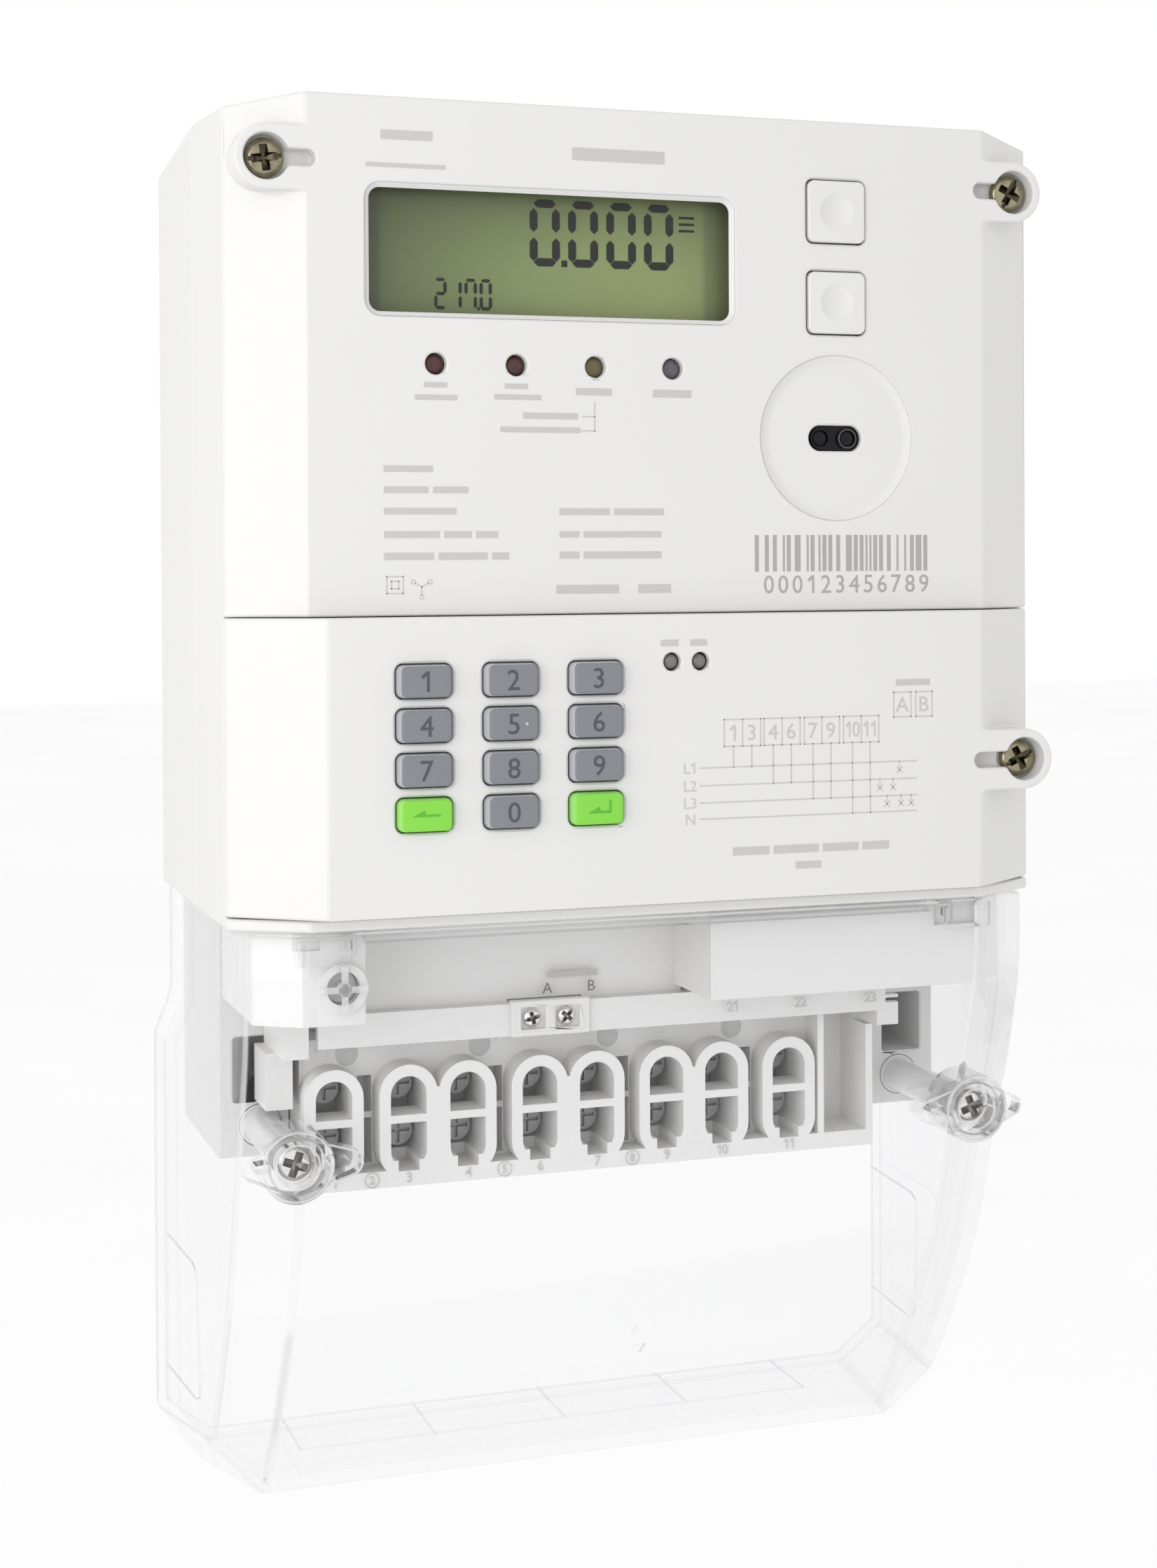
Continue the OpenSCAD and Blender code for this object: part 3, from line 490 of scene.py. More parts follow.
def softened(node, radius, material, slot, split):
    source = nodes[node]
    data = source.data.copy()
    form = bmesh.new()
    form.from_mesh(data)
    bmesh.ops.remove_doubles(form, verts=form.verts, dist=2e-6)
    bmesh.ops.dissolve_limit(form, angle_limit=math.radians(0.3), verts=form.verts, edges=form.edges)
    if split:
        bmesh.ops.triangulate(form, faces=form.faces, quad_method="BEAUTY", ngon_method="BEAUTY")
    form.to_mesh(data)
    form.free()
    data.materials.clear()
    data.materials.append(material)
    piece = show(node + "_shell", data)
    if data.has_custom_normals:
        with bpy.context.temp_override(object=piece, active_object=piece, selected_objects=[piece]):
            bpy.ops.mesh.customdata_custom_splitnormals_clear()
    data.shade_smooth()
    soften(piece, "edge", radius, 2, 30, split).miter_outer = "MITER_ARC"
    weigh(piece)
    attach(piece, source["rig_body"])
    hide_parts(node)
    return piece


for node, choice in edgeRadius.items():
    softened(node, *choice)
print("shells softened:", len(edgeRadius))


# printing stands just proud of the faces

printing = {"thickness": 0.05, "lineWidth": 0.22, "gap": 0.9}


def word(form, face, x0, x1, z0, z1):      # stands for a printed word
    form.bar(x0, x1, seam + z0, seam + z1, face - printing["thickness"], face + 0.1)


def wordLine(form, face, x0, x1, z0, z1, parts=(1,)):     # words in a row; parts are their relative lengths
    thin = (z1 - z0) * 0.2
    total = sum(parts)
    room = x1 - x0 - printing["gap"] * (len(parts) - 1)
    x = x0
    for part in parts:
        width = room * part / total
        word(form, face, x, x + width, z0 + thin, z1 - thin)
        x += width + printing["gap"]


def stroke(form, face, x0, z0, x1, z1, width=None):
    half = (width or printing["lineWidth"]) / 2
    along = Vector((x1 - x0, z1 - z0)).normalized() * half
    across = Vector((-along.y, along.x))
    corners = [
        (x0 - along.x + across.x, z0 - along.y + across.y),
        (x1 + along.x + across.x, z1 + along.y + across.y),
        (x1 + along.x - across.x, z1 + along.y - across.y),
        (x0 - along.x - across.x, z0 - along.y - across.y),
    ]
    form.plate([(x, seam + z) for x, z in corners], face - printing["thickness"], face + 0.1)


def frameBoxLine(form, face, x0, x1, z0, z1, width=None):
    for a, b in (((x0, z0), (x1, z0)), ((x1, z0), (x1, z1)), ((x1, z1), (x0, z1)), ((x0, z1), (x0, z0))):
        stroke(form, face, *a, *b, width)


def dotRing(form, face, x, z, radius, width=0.2):
    front = face - printing["thickness"]
    inner = radius - width
    form.tube(x, seam + z, [(inner, front), (radius, front), (radius, face + 0.1), (inner, face + 0.1)], 24)


def upperPrinting():
    form = Form()
    face = upperFace
    word(form, face, -56.6, -46.4, 90.6, 92.4)                      # plain marks at the top
    wordLine(form, face, -59.5, -43.9, 85.0, 86.4)
    wordLine(form, face, -18.3, 0.9, 87.6, 91.7)
    for x0, x1, z0, z1 in ((-48.4, -43.8, 43.3, 45), (-50.2, -41.8, 40.9, 42.6), (-32.3, -27.6, 43.3, 45),
            (-34.4, -24.9, 41.2, 42.9), (-17.8, -10.4, 42.2, 44.5), (-1.8, 6.3, 42, 44.5),
            (-28.6, -17.4, 37.5, 39.5), (-33.2, -16.9, 34.9, 36.7)):
        wordLine(form, face, x0, x1, z0, z1)
    stroke(form, face, -13.96, 35.7, -13.96, 41.3)
    stroke(form, face, -16.5, 38.5, -13.96, 38.5)
    stroke(form, face, -16.5, 35.7, -13.96, 35.7)
    for x1, z0, z1, parts in ((-46.7, 27.05, 29.07, [1]), (-39.7, 23, 25.1, [3, 2.4]),
            (-42.1, 18.95, 21, [1]), (-33.8, 14.4, 16.6, [4, 2, 1.6]), (-31.6, 10.2, 12.5, [4, 4, 1.4])):
        wordLine(form, face, -56.4, x1, z0, z1, parts)
    for x1, z0, z1, parts in ((0.36, 18.85, 21, [3, 3]), (-0.15, 14.5, 16.5, [1, 4]),
            (-0.18, 10.3, 12.6, [1, 4])):
        wordLine(form, face, -21.3, x1, z0, z1, parts)
    frameBoxLine(form, face, -55.9, -52.7, 4.3, 7.5)
    frameBoxLine(form, face, -55.0, -53.6, 5.2, 6.6)
    for angle in (90, 210, 330):
        dx = math.cos(math.radians(angle + 60))
        dz = math.sin(math.radians(angle + 60))
        stroke(form, face, -49.05, 5.5, -49.05 + 1.4 * dx, 5.5 + 1.4 * dz)
        dotRing(form, face, -49.05 + 1.9 * dx, 5.5 + 1.9 * dz, 0.5)
    wordLine(form, face, -22, -9.1, 3.4, 6.2)
    wordLine(form, face, -5.1, 1.8, 3.4, 6.2)
    form.build("upper_printing", [ink], "housing", "case_plastic")


def barcode():
    code = {"left": 19.8, "right": 59.8, "foot": 8.0, "head": 15.3, "modules": 92}
    form = Form()
    unit = (code["right"] - code["left"]) / code["modules"]
    chance = random.Random(11)
    place = 0
    while place < code["modules"] - 2:
        width = chance.choice((1, 1, 1, 2, 2, 3))
        x = code["left"] + place * unit
        form.bar(x, x + width * unit * 0.95, seam + code["foot"], seam + code["head"],
            upperFace - printing["thickness"], upperFace + 0.1)
        place += width + chance.choice((1, 1, 2, 2, 3))
    for i, figure in enumerate("000123456789"):
        figures(form, figure, 22.8 + i * 3.13, seam + 5.4, 3.6, upperFace - 0.05, 0.15, squeeze=0.95)
    form.build("barcode", [strongInk], "housing", "case_plastic")


def keypadPrinting():
    form = Form()
    face = keypadFace
    thick = printing["thickness"] + 0.1
    wordLine(form, face, -1.9, 1.8, -6.9, -4.8)
    wordLine(form, face, 4.3, 7.8, -6.9, -4.8)
    wordLine(form, face, 48.9, 56.5, -15.65, -13.6)
    for sign, x0, x1 in (("A", 48.35, 52.2), ("B", 53.3, 57.0)):
        frameBoxLine(form, face, x0, x1, -21.6, -16.6)
        figures(form, sign, (x0 + x1) / 2, seam - 19.1, 3, face - 0.05, thick)
    for x0, x1, pair in ((11.4, 19.2, "13"), (19.9, 27.7, "46"), (28.6, 36.3, "79"),
            (37.2, 45.0, ("10", "11"))):
        half = (x1 - x0) / 2
        frameBoxLine(form, face, x0, x1, -26.5, -21.2)
        stroke(form, face, x0 + half, -26.5, x0 + half, -21.2)
        for k in (0, 1):
            figures(form, pair[k], x0 + half * (k + 0.5), seam - 23.85, 3.1, face - 0.05, thick,
                squeeze=0.8 if x0 > 37 else 1)
    lines = (-30.6, -34.1, -37.5, -40.7)
    for z, sign in zip(lines, ("L1", "L2", "L3", "N")):
        figures(form, sign, 4.15, seam + z, 2.1, face - 0.05, thick)
        stroke(form, face, 6.2, z, 53.4, z)
    for k, x in enumerate((13.35, 17.25, 21.85, 25.75, 30.5, 34.4, 39.15, 43.05)):
        stroke(form, face, x, -26.5, x, lines[k // 2])
    for x, z in ((49.6, -32.3), (45.2, -35.8), (48.1, -35.8), (46.8, -39.1), (49.9, -39.1), (52.2, -39.1)):
        stroke(form, face, x - 0.55, z - 0.55, x + 0.55, z + 0.55)
        stroke(form, face, x - 0.55, z + 0.55, x + 0.55, z - 0.55)
        stroke(form, face, x, z + 0.6, x, z + 1.7, 0.15)
    wordLine(form, face, 13.1, 47.2, -48.7, -46.0, [4, 5, 4, 3])
    wordLine(form, face, 26.6, 32.2, -51.8, -49.5)
    form.build("keypad_printing", [ink], "keypad_cover", "case_plastic")


upperPrinting()
barcode()
keypadPrinting()
print("printing done")


# the digits lie on the liquid crystal panel

digitShape = {"stroke": 0.26, "gap": 0.025}      # in proportion to a digit's width
litSegments = {"0": "abcdef", "1": "bc", "2": "abged", "7": "abcf"}


def digit(form, sign, x, z, size, front):
    width, height = size["width"], size["height"]
    t = width * digitShape["stroke"]
    g = width * digitShape["gap"]
    half = height / 2
    flat = [(t * 0.5, 0), (t, t * 0.5), (width - t, t * 0.5), (width - t * 0.5, 0),
        (width - t, -t * 0.5), (t, -t * 0.5)]
    tall = [(0, t * 0.5 + g), (t * 0.5, t + g), (t * 0.5, half - t - g), (0, half - t * 0.5 - g),
        (-t * 0.5, half - t - g), (-t * 0.5, t + g)]
    places = {
        "a": (flat, 0, height - t * 0.5),
        "g": (flat, 0, half),
        "d": (flat, 0, t * 0.5),
        "f": (tall, t * 0.5, half - t * 0.5),
        "b": (tall, width - t * 0.5, half - t * 0.5),
        "e": (tall, t * 0.5, 0),
        "c": (tall, width - t * 0.5, 0),
    }
    for name in litSegments[sign]:
        outline, dx, dz = places[name]
        form.plate([(x + dx + px, z + dz + pz) for px, pz in outline], front - 0.08, front + 0.05)


def displayDigits():
    big = {"left": -25.35, "foot": 68.2, "width": 6.2, "height": 13.1, "pitch": 7.95}
    small = {"left": -44.8, "foot": 59.2, "width": 2.5, "height": 6.1, "pitch": 3.05}
    front = low("display_panel", "y")
    form = Form()
    for i in range(4):
        digit(form, "0", big["left"] + i * big["pitch"], seam + big["foot"], big, front)
    form.bar(-18.85, -17.65, seam + 68.2, seam + 69.5, front - 0.08, front + 0.05)
    for i, sign in enumerate("2170"):
        digit(form, sign, small["left"] + i * small["pitch"], seam + small["foot"], small, front)
    form.bar(-36.15, -35.65, seam + 59.2, seam + 59.8, front - 0.08, front + 0.05)
    for row in (76, 77.3, 78.6):        # a small mark beside the digits
        form.bar(5.9, 9.2, seam + row, seam + row + 0.5, front - 0.08, front + 0.05)
    form.build("display_digits", [digits], "housing", "display_glass")


displayDigits()
print("display done")


# keys

def key(node, sign):
    shape = {"width": 10.8, "height": 6.3, "corner": 1.35}
    x, z, front, back = spot(node)
    inside = keypadFace + 3.2
    green = sign in ("back", "enter")
    form = Form()
    rings = []
    for inset, drop, y in ((-1, -0.7, inside + 0.5), (-1, -0.7, inside - 0.5), (0, 0, inside - 0.5),
            (0.02, 0.02, keypadFace + 0.3), (0.4, 0.16, front + 0.5), (0.5, 0.22, front + 0.2),
            (0.68, 0.36, front + 0.04), (0.95, 0.6, front)):
        rings.append([(px, y, pz) for px, pz in roundedOutline(x, z, shape["width"] - 2 * inset,
            shape["height"] - 2 * drop, max(shape["corner"] - inset * 0.6, 0.6))])
    form.loft(rings[::-1], kind=1, capKind=0)
    count = len(rings[0])
    for k in range(count * 2):      # the painted face runs a little over its soft edge
        form.kinds[k] = 0
    form.lathe(x, z, [(2, inside), (2, back), (0, back)], 24, kind=1)
    face = front - 0.06
    if sign == "back":
        arrow = ((-2.9, -0.15), (-0.4, 1.0), (-0.4, 0.25), (2.6, 0.25), (2.6, -0.15))
        form.plate([(x + px, z + pz) for px, pz in arrow], face, front + 0.1, 2)
    elif sign == "enter":
        arrow = ((-2.2, -0.7), (0.1, 0.5), (0.1, -0.35), (2.0, -0.35), (2.0, 1.7), (2.4, 1.7),
            (2.4, -0.8), (-2.0, -0.8))
        form.plate([(x + px, z + pz) for px, pz in arrow], face, front + 0.1, 2)
    else:
        figures(form, sign, x, z, 3.9, face, 0.2, 2)
    if sign == "5":
        dot = [(0, front - 0.25), (0.3, front - 0.18), (0.42, front + 0.1), (0, front + 0.1)]
        form.lathe(x + 2.6, z, dot, 16, 1)
    materials = [greenFace, greenSide, greenMark] if green else [keyFace, keySide, keyMark]
    form.build(node + "_cap", materials, node, "key_green" if green else "key_rubber", [node], 50)


keySigns = ["1", "2", "3", "4", "5", "6", "7", "8", "9", "back", "0", "enter"]
keyNodes = {"back": "key_clear", "enter": "key_enter"}
for sign in keySigns:
    key(keyNodes.get(sign, "key_" + sign), sign)
print("keys done")


# lamps and the optical port

def dome(radius, rise, front):      # (radius, y) pairs of a rounded lens
    angles = [math.pi / 2 * k / 8 for k in range(9)]
    return [(radius * math.sin(a), front + rise * (1 - math.cos(a))) for a in angles]


def lamps():
    lamp = {"radius": 1.95, "dome": 0.7}
    node = "indicator_light_pipes"
    first = low(node, "x") + 2.6
    step = (high(node, "x") - 2.6 - first) / 3
    z, front, back = spot(node)[1:]
    for i, material in enumerate((redLens, redLens, amberLens, violetLens)):
        form = Form()
        profile = dome(lamp["radius"], lamp["dome"], front)
        profile += [(lamp["radius"], front + 1.3), (2.6, front + 1.4), (2.6, back), (0, back)]
        form.lathe(first + i * step, z, profile)
        form.build("light_pipe_%d" % (i + 1), [material], "housing", "light_pipe", [node])


def linkLamps():
    lamp = {"radius": 1.5, "dome": 0.9}
    z, front, back = spot("link_leds")[1:]
    front -= 0.3
    for i, x in enumerate((low("link_leds", "x") + 1.5, high("link_leds", "x") - 1.5)):
        form = Form()
        profile = dome(lamp["radius"], lamp["dome"], front)
        form.lathe(x, z, profile + [(lamp["radius"], back), (0, back)])
        form.build("link_lamp_%d" % (i + 1), [greyLens], "keypad_cover", "light_pipe", ["link_leds"])


def opticalPort():
    x, z, front = spot("optical_window")[:3]
    form = Form()
    form.plate(slotOutline(x - 3.2, x + 3.2, z, 2.45), front + 0.6, front + 2)
    form.plate(slotOutline(x - 3.6, x + 3.6, z, 3.6), front + 1.1, front + 2.4)
    for side in (-1, 1):
        form.tube(x + side * 3, z, [(1.75, front), (2.15, front), (2.15, front + 1), (1.75, front + 1)], 32)
        bead = [(0.01, front - 0.1), (0.8, front), (1.4, front + 0.3), (1.7, front + 0.9), (0, front + 0.9)]
        form.lathe(x + side * 3, z, bead, 32)
    # a lighter ring round the right lens only: a painted glint
    glint = [(1.75, front - 0.04), (1.95, front - 0.06), (2.0, front), (1.75, front + 0.02)]
    form.tube(x + 3, z, glint, 32, 1)
    form.build("optical_port_window", [smoked, paintedGlintRing], "housing", "smoked_plastic", ["optical_window"])


def rims():
    form = Form()
    x, z = spot("optical_window")[:2]
    slope = ((16.6, 0.02), (16.6, 0.8), (14.6, 0.72), (15.3, 0.62), (15.9, 0.4), (16.3, 0.12))
    form.tube(x, z, [(radius, upperFace + drop) for radius, drop in slope], 96)
    opening = {"width": 75.4, "height": 25.3, "corner": 3, "slope": 0.85}
    x, z = spot("display_window")[:2]
    outline = [
        roundedOutline(x, z, opening["width"] - 2 * t, opening["height"] - 2 * t, opening["corner"] - t, 10)
        for t in (0, opening["slope"])
    ]
    hoop(form, [(outline[0], upperFace + 0.05), (outline[1], upperFace + 0.85), (outline[1], upperFace + 1.0),
        (outline[0], upperFace + 1.0)])
    form.build("port_and_window_rims", [case], "housing", "case_plastic")


lamps()
linkLamps()
opticalPort()
rims()
print("lamps and optical port done")


# screws have cut recesses and ridged shanks

def threaded(start, end, radius, pitch, depth):       # (radius, y) pairs of a plain ridged shank
    profile = []
    turns = int(abs(end - start) / pitch)
    for k in range(turns):
        y = start + k * pitch
        profile += [(radius - depth, y), (radius, y + pitch * 0.5)]
    return profile + [(radius - depth, end - 0.8), (radius * 0.5, end)]


def turnedBar(spin, reach, half):      # corners of a bar about the middle of a head
    return [spin @ Vector(c) for c in ((-reach, -half), (reach, -half), (reach, half), (-reach, half))]


def screwHead(x, z, front, size, tip, slot=True, turn=0):     # the blank of a screw and what is cut from it
    radius, height, shank = size["radius"], size["height"], size["shank"]
    head = Form()
    crown = [(0, front), (radius * 0.35, front + 0.04), (radius * 0.7, front + 0.22),
        (radius * 0.9, front + 0.5), (radius * 0.985, front + 0.8), (radius, front + 1.1),
        (radius, front + height - 0.15), (radius - 0.15, front + height)]
    head.lathe(x, z, crown + threaded(front + height, tip, shank, 0.8, 0.18), 56)
    cutter = Form()
    for quarter in (0, 90):
        arm = Matrix.Rotation(math.radians(turn + quarter), 2)
        rings = []
        for drop, long, wide in ((-1, 0.74, 0.23), (0.1, 0.69, 0.21), (1.1, 0.42, 0.15), (1.5, 0.08, 0.06)):
            corners = turnedBar(arm, radius * long, radius * wide)
            rings.append([(x + c.x, front + drop, z + c.y) for c in corners])
        cutter.loft(rings, 1)
    if slot:
        corners = turnedBar(Matrix.Rotation(math.radians(turn), 2), radius * 0.86, radius * 0.11)
        cutter.plate([(x + c.x, z + c.y) for c in corners], front - 1.2, front + 0.75, 1)
    return head, cutter


def carve(name, parts, materials, body, slot, stands, bevel=0.12):
    data = bpy.data.meshes.new(name)
    whole = bmesh.new()
    for head, cutter in parts:
        blank = show("blank", head.mesh("blank"))
        knife = show("knife", cutter.mesh("knife"))
        for material in materials:      # the cutter's faces take the second, darker metal: painted shade in the recess
            blank.data.materials.append(material)
            knife.data.materials.append(material)
        cut = blank.modifiers.new("cut", "BOOLEAN")
        cut.operation = "DIFFERENCE"
        cut.solver = "EXACT"
        cut.use_self = True
        cut.object = knife
        bpy.context.view_layer.update()
        evaluated = blank.evaluated_get(bpy.context.evaluated_depsgraph_get())
        result = bpy.data.meshes.new_from_object(evaluated)
        whole.from_mesh(result)
        bpy.data.objects.remove(blank)
        bpy.data.objects.remove(knife)
        bpy.data.meshes.remove(result)
    whole.to_mesh(data)
    whole.free()
    piece = dressed(data, name, materials, body, slot, stands, 40)
    soften(piece, "rim", bevel, 2, 42, True)


def screws(name, body, node, places, head, finish, slot, slotted=True, bevel=0.12):    # places: x and turn
    z, front, tip = spot(node)[1:]
    parts = [screwHead(x, z, front, head, tip, slotted, turn) for x, turn in places]
    carve(name, parts, finish, body, slot, [node], bevel)


sealHead = {"radius": 3.8, "height": 2.1, "shank": 2}
clampHead = {"radius": 3.8, "height": 2.6, "shank": 1.7}
linkHead = {"radius": 2.0, "height": 1.2, "shank": 1.3}
yellow = [zinc, shadedZincRecess]
white = [nickel, shadedNickelRecess]
main = "main_cover_screws"
seal = "keypad_cover_screw"
clamp = "terminal_cover_screws"
link = "link_terminal_screws"
screws("left_cover_screw", "housing", main, [(-earX, 8)], sealHead, yellow, "zinc_screw")
screws("right_cover_screw", "housing", main, [(earX, 62)], sealHead, yellow, "zinc_screw")
screws("keypad_seal_screw", "keypad_cover", seal, [(earX, 25)], sealHead, yellow, "zinc_screw")
screws("left_clamp_screw", "terminal_cover", clamp, [(-clampX, 70)], clampHead, white, "steel", False)
screws("right_clamp_screw", "terminal_cover", clamp, [(clampX, 20)], clampHead, white, "steel", False)
linkPlaces = [(low(link, "x") + 2, 15), (high(link, "x") - 2, 50)]
screws("link_clamp_screws", "housing", link, linkPlaces, linkHead, white, "steel", True, 0.08)
print("screws done")


# raised numbers and marks of the terminal block and its shroud

def terminalMarks():
    mark = {"height": 2.1, "raised": 0.25}
    face = low("terminal_block", "y")
    z = low("terminal_block", "z") + 1.75
    first = low("terminal_cages", "x") + 4.6
    places = [first + (i // 2) * 28 + (i % 2) * 15.5 for i in range(8)]
    form = Form()
    for x, sign in zip(places, ("1", "3", "4", "6", "7", "9", "10", "11")):
        figures(form, sign, x, z, mark["height"], face - mark["raised"], mark["raised"] + 0.2)
    for pair, sign in enumerate(("2", "5", "8")):
        x = (places[2 * pair] + places[2 * pair + 1]) / 2
        figures(form, sign, x, z, mark["height"] * 0.8, face - mark["raised"], mark["raised"] + 0.2)
        form.tube(x, z, [(1.35, face - 0.2), (1.6, face - 0.2), (1.6, face + 0.2), (1.35, face + 0.2)], 32)
    # the raised numbers and rings take the darker plastic: painted shade in place of their shadows
    form.build("terminal_numbers", [markShade], "housing", "terminal_plastic")
    form = Form()
    for left, right in zip(places[1:7:2], places[2:8:2]):       # fillets below the joined guards
        x = (left + right) / 2
        form.bar(x - 2.1, x + 2.1, -71.2, -66.2, face + 0.05, face + 3)
    form.build("guard_fillets", [litTerminals], "housing", "terminal_plastic")
    deck = face + 6.5
    form = Form()
    for x in (-56.1, -27.8, 0.4, 28.6):         # round ejector marks in the darker plastic: painted shade in their hollows
        form.lathe(x, -47.9, [(0.01, deck - 0.06), (2.3, deck - 0.06), (2.4, deck), (2.4, deck + 0.2)], 40)
    form.build("block_ejector_marks", [markShade], "housing", "terminal_plastic")
    form = Form()
    for x in (-61.5, -23.2, -15.8, -8.1):
        form.plate(roundedOutline(x, -46.9, 2.2, 0.8, 0.3), deck - 0.5, deck + 0.2)
    form.build("block_ribs", [litTerminals], "housing", "terminal_plastic")
    linkX, linkZ, front = spot("link_terminal_block")[:3]
    form = Form()
    outer, edge, inner = [roundedOutline(linkX, linkZ, width, height, 0.4)
        for width, height in ((16.9, 7.3), (16.5, 6.9), (14.9, 5.5))]
    hoop(form, [(outer, front + 0.15), (outer, front + 1.2), (inner, front + 1.2), (inner, front - 0.1),
        (edge, front - 0.1)])
    form.build("link_block_frame", [shroud], "housing", "shroud_plastic")


def shroudMarks():
    panel = low("terminal_shroud", "y") + 21.9      # the recessed panel
    strip = low("terminal_shroud", "y") + 18.5      # the numbered strip
    panelPrint = Form()
    panelPrint.bar(-15.9, -5.2, -33.1, -31.9, panel - 0.05, panel + 0.1, 1)
    for x, sign in ((-16, "A"), (-6.4, "B")):
        figures(panelPrint, sign, x, -35.2, 2.2, panel - 0.05, 0.15)
    panelPrint.build("panel_printing", [darkInk, ink], "housing", "shroud_plastic")
    numbers = Form()
    for x, sign in ((23.8, "21"), (39.3, "22"), (55.5, "23")):
        figures(numbers, sign, x, -41.0, 2.1, strip - 0.25, 0.45)
    # these raised numbers take the darker plastic as well: painted shade in place of their shadows
    numbers.build("strip_numbers", [markShade], "housing", "shroud_plastic")


terminalMarks()
shroudMarks()
print("terminal marks done")


# the clear cover is a curved shell with its fittings

clearCover = {
    "wall": 2.5,
    "flat": 71,             # half width of the front between the creases
    "side": 84.2,           # half width at the outer creases
    "flare": 87.9,          # half width at the wall, below the step
    "crease": 8.5,          # how far the outer crease lies behind the front
    "stepTop": -82,         # heights below the seam between which the side flares
    "stepFoot": -93.6,
    "cornerRise": 8.5,      # height of the cut lower corners
    "lowerFlat": 77,        # half width of the bottom edge at the wall
}
coverSide = [       # height below the seam, and how far the front has drawn back there
    (-59.6, 0), (-76, 0.5), (-86, 2.6), (-97, 5.8), (-112, 11.5), (-139, 20.7), (-166, 36), (-183.5, 48.6),
]


def coverFront(height):     # depth of the front wall at a height below the seam, as a smooth curve
    spots = coverSide
    for k in range(len(spots) - 1):
        (z0, y0), (z1, y1) = spots[k], spots[k + 1]
        if height >= z1 or k == len(spots) - 2:
            before = spots[max(k - 1, 0)]
            after = spots[min(k + 2, len(spots) - 1)]
            t = (height - z0) / (z1 - z0)
            slope0 = (y1 - before[1]) / (z1 - before[0]) * (z1 - z0)
            slope1 = (after[1] - y0) / (after[0] - z0) * (z1 - z0)
            return (upperFace + (2 * t ** 3 - 3 * t ** 2 + 1) * y0 + (t ** 3 - 2 * t ** 2 + t) * slope0
                + (3 * t ** 2 - 2 * t ** 3) * y1 + (t ** 3 - t ** 2) * slope1)


def coverRing(height):
    c = clearCover
    foot = bottom - seam
    y = coverFront(height)
    corner = max(0, 1 - (height - foot) / c["cornerRise"])      # 1 at the very bottom
    step = min(max((c["stepTop"] - height) / (c["stepTop"] - c["stepFoot"]), 0), 1)
    step = step * step * (3 - 2 * step)
    back = c["side"] + (c["flare"] - c["side"]) * step
    back -= (back - c["lowerFlat"]) * corner
    side = c["side"] - (c["side"] - c["flat"] - 0.6) * corner
    crease = y + c["crease"] * (side - c["flat"]) / (c["side"] - c["flat"])
    half = [(back, 0), (side, crease), (c["flat"], y)]
    return [(-x, yy, seam + height) for x, yy in half] + [(x, yy, seam + height) for x, yy in half[::-1]]


def clearShell():
    c = clearCover
    head = coverTop - seam
    foot = bottom - seam
    heights = [head + (foot + c["cornerRise"] - head) * k / 40 for k in range(41)] + [foot]
    rings = [coverRing(h) for h in heights]
    count = len(rings[0])
    form = Form()
    faces = bands(len(rings), count, closedRing=False)
    last = (len(rings) - 1) * count
    faces.append([last + i for i in range(count)])
    form.put([p for ring in rings for p in ring], faces)
    data = form.mesh("clear_shell")
    piece = dressed(data, "clear_shell", [clearWall, shadedClearEdge], "terminal_cover", "clear_plastic",
        ["terminal_cover"], 180)
    centre = sum((v.co for v in data.vertices), Vector()) / len(data.vertices)
    front = min(data.polygons, key=lambda p: p.center.y)
    thick = piece.modifiers.new("thickness", "SOLIDIFY")
    thick.thickness = c["wall"] / 1000
    thick.offset = -1 if front.normal.dot(front.center - centre) > 0 else 1
    thick.use_even_offset = True
    # the rounded edges take the second, greyer clear material: painted shade along them
    soften(piece, "edge", 1.1, 3, 22, False).material = 1
    weigh(piece)


def rib(form, start, end, width, depth, kind=0):      # a straight square-edged ridge between two points
    a = Vector(start)
    b = Vector(end)
    along = (b - a).normalized()
    side = along.cross(Vector((0, 1, 0)))
    if side.length < 0.1:
        side = along.cross(Vector((0, 0, 1)))
    side = side.normalized() * width / 2
    lift = side.cross(along).normalized() * depth / 2
    corners = (side + lift, side - lift, -side - lift, -side + lift)
    form.loft([[tuple(end + c) for c in corners] for end in (a, b)], kind)


def teardrop(x, z, radius, tipX, tipRadius, steps=40):      # outline of a round boss drawn out towards tipX
    reach = abs(tipX - x)
    side = 1 if tipX > x else -1
    lean = math.acos((radius - tipRadius) / reach)
    points = []
    for k in range(steps + 1):
        a = lean + (2 * math.pi - 2 * lean) * k / steps
        points.append((x + side * radius * math.cos(a), z + radius * math.sin(a)))
    for k in range(steps // 2 + 1):
        a = -lean + 2 * lean * k / (steps // 2)
        points.append((tipX + side * tipRadius * math.cos(a), z + tipRadius * math.sin(a)))
    return points


def coverPart(form, name, materials):
    form.build(name, materials, "terminal_cover", "clear_plastic", ["terminal_cover"], 40)


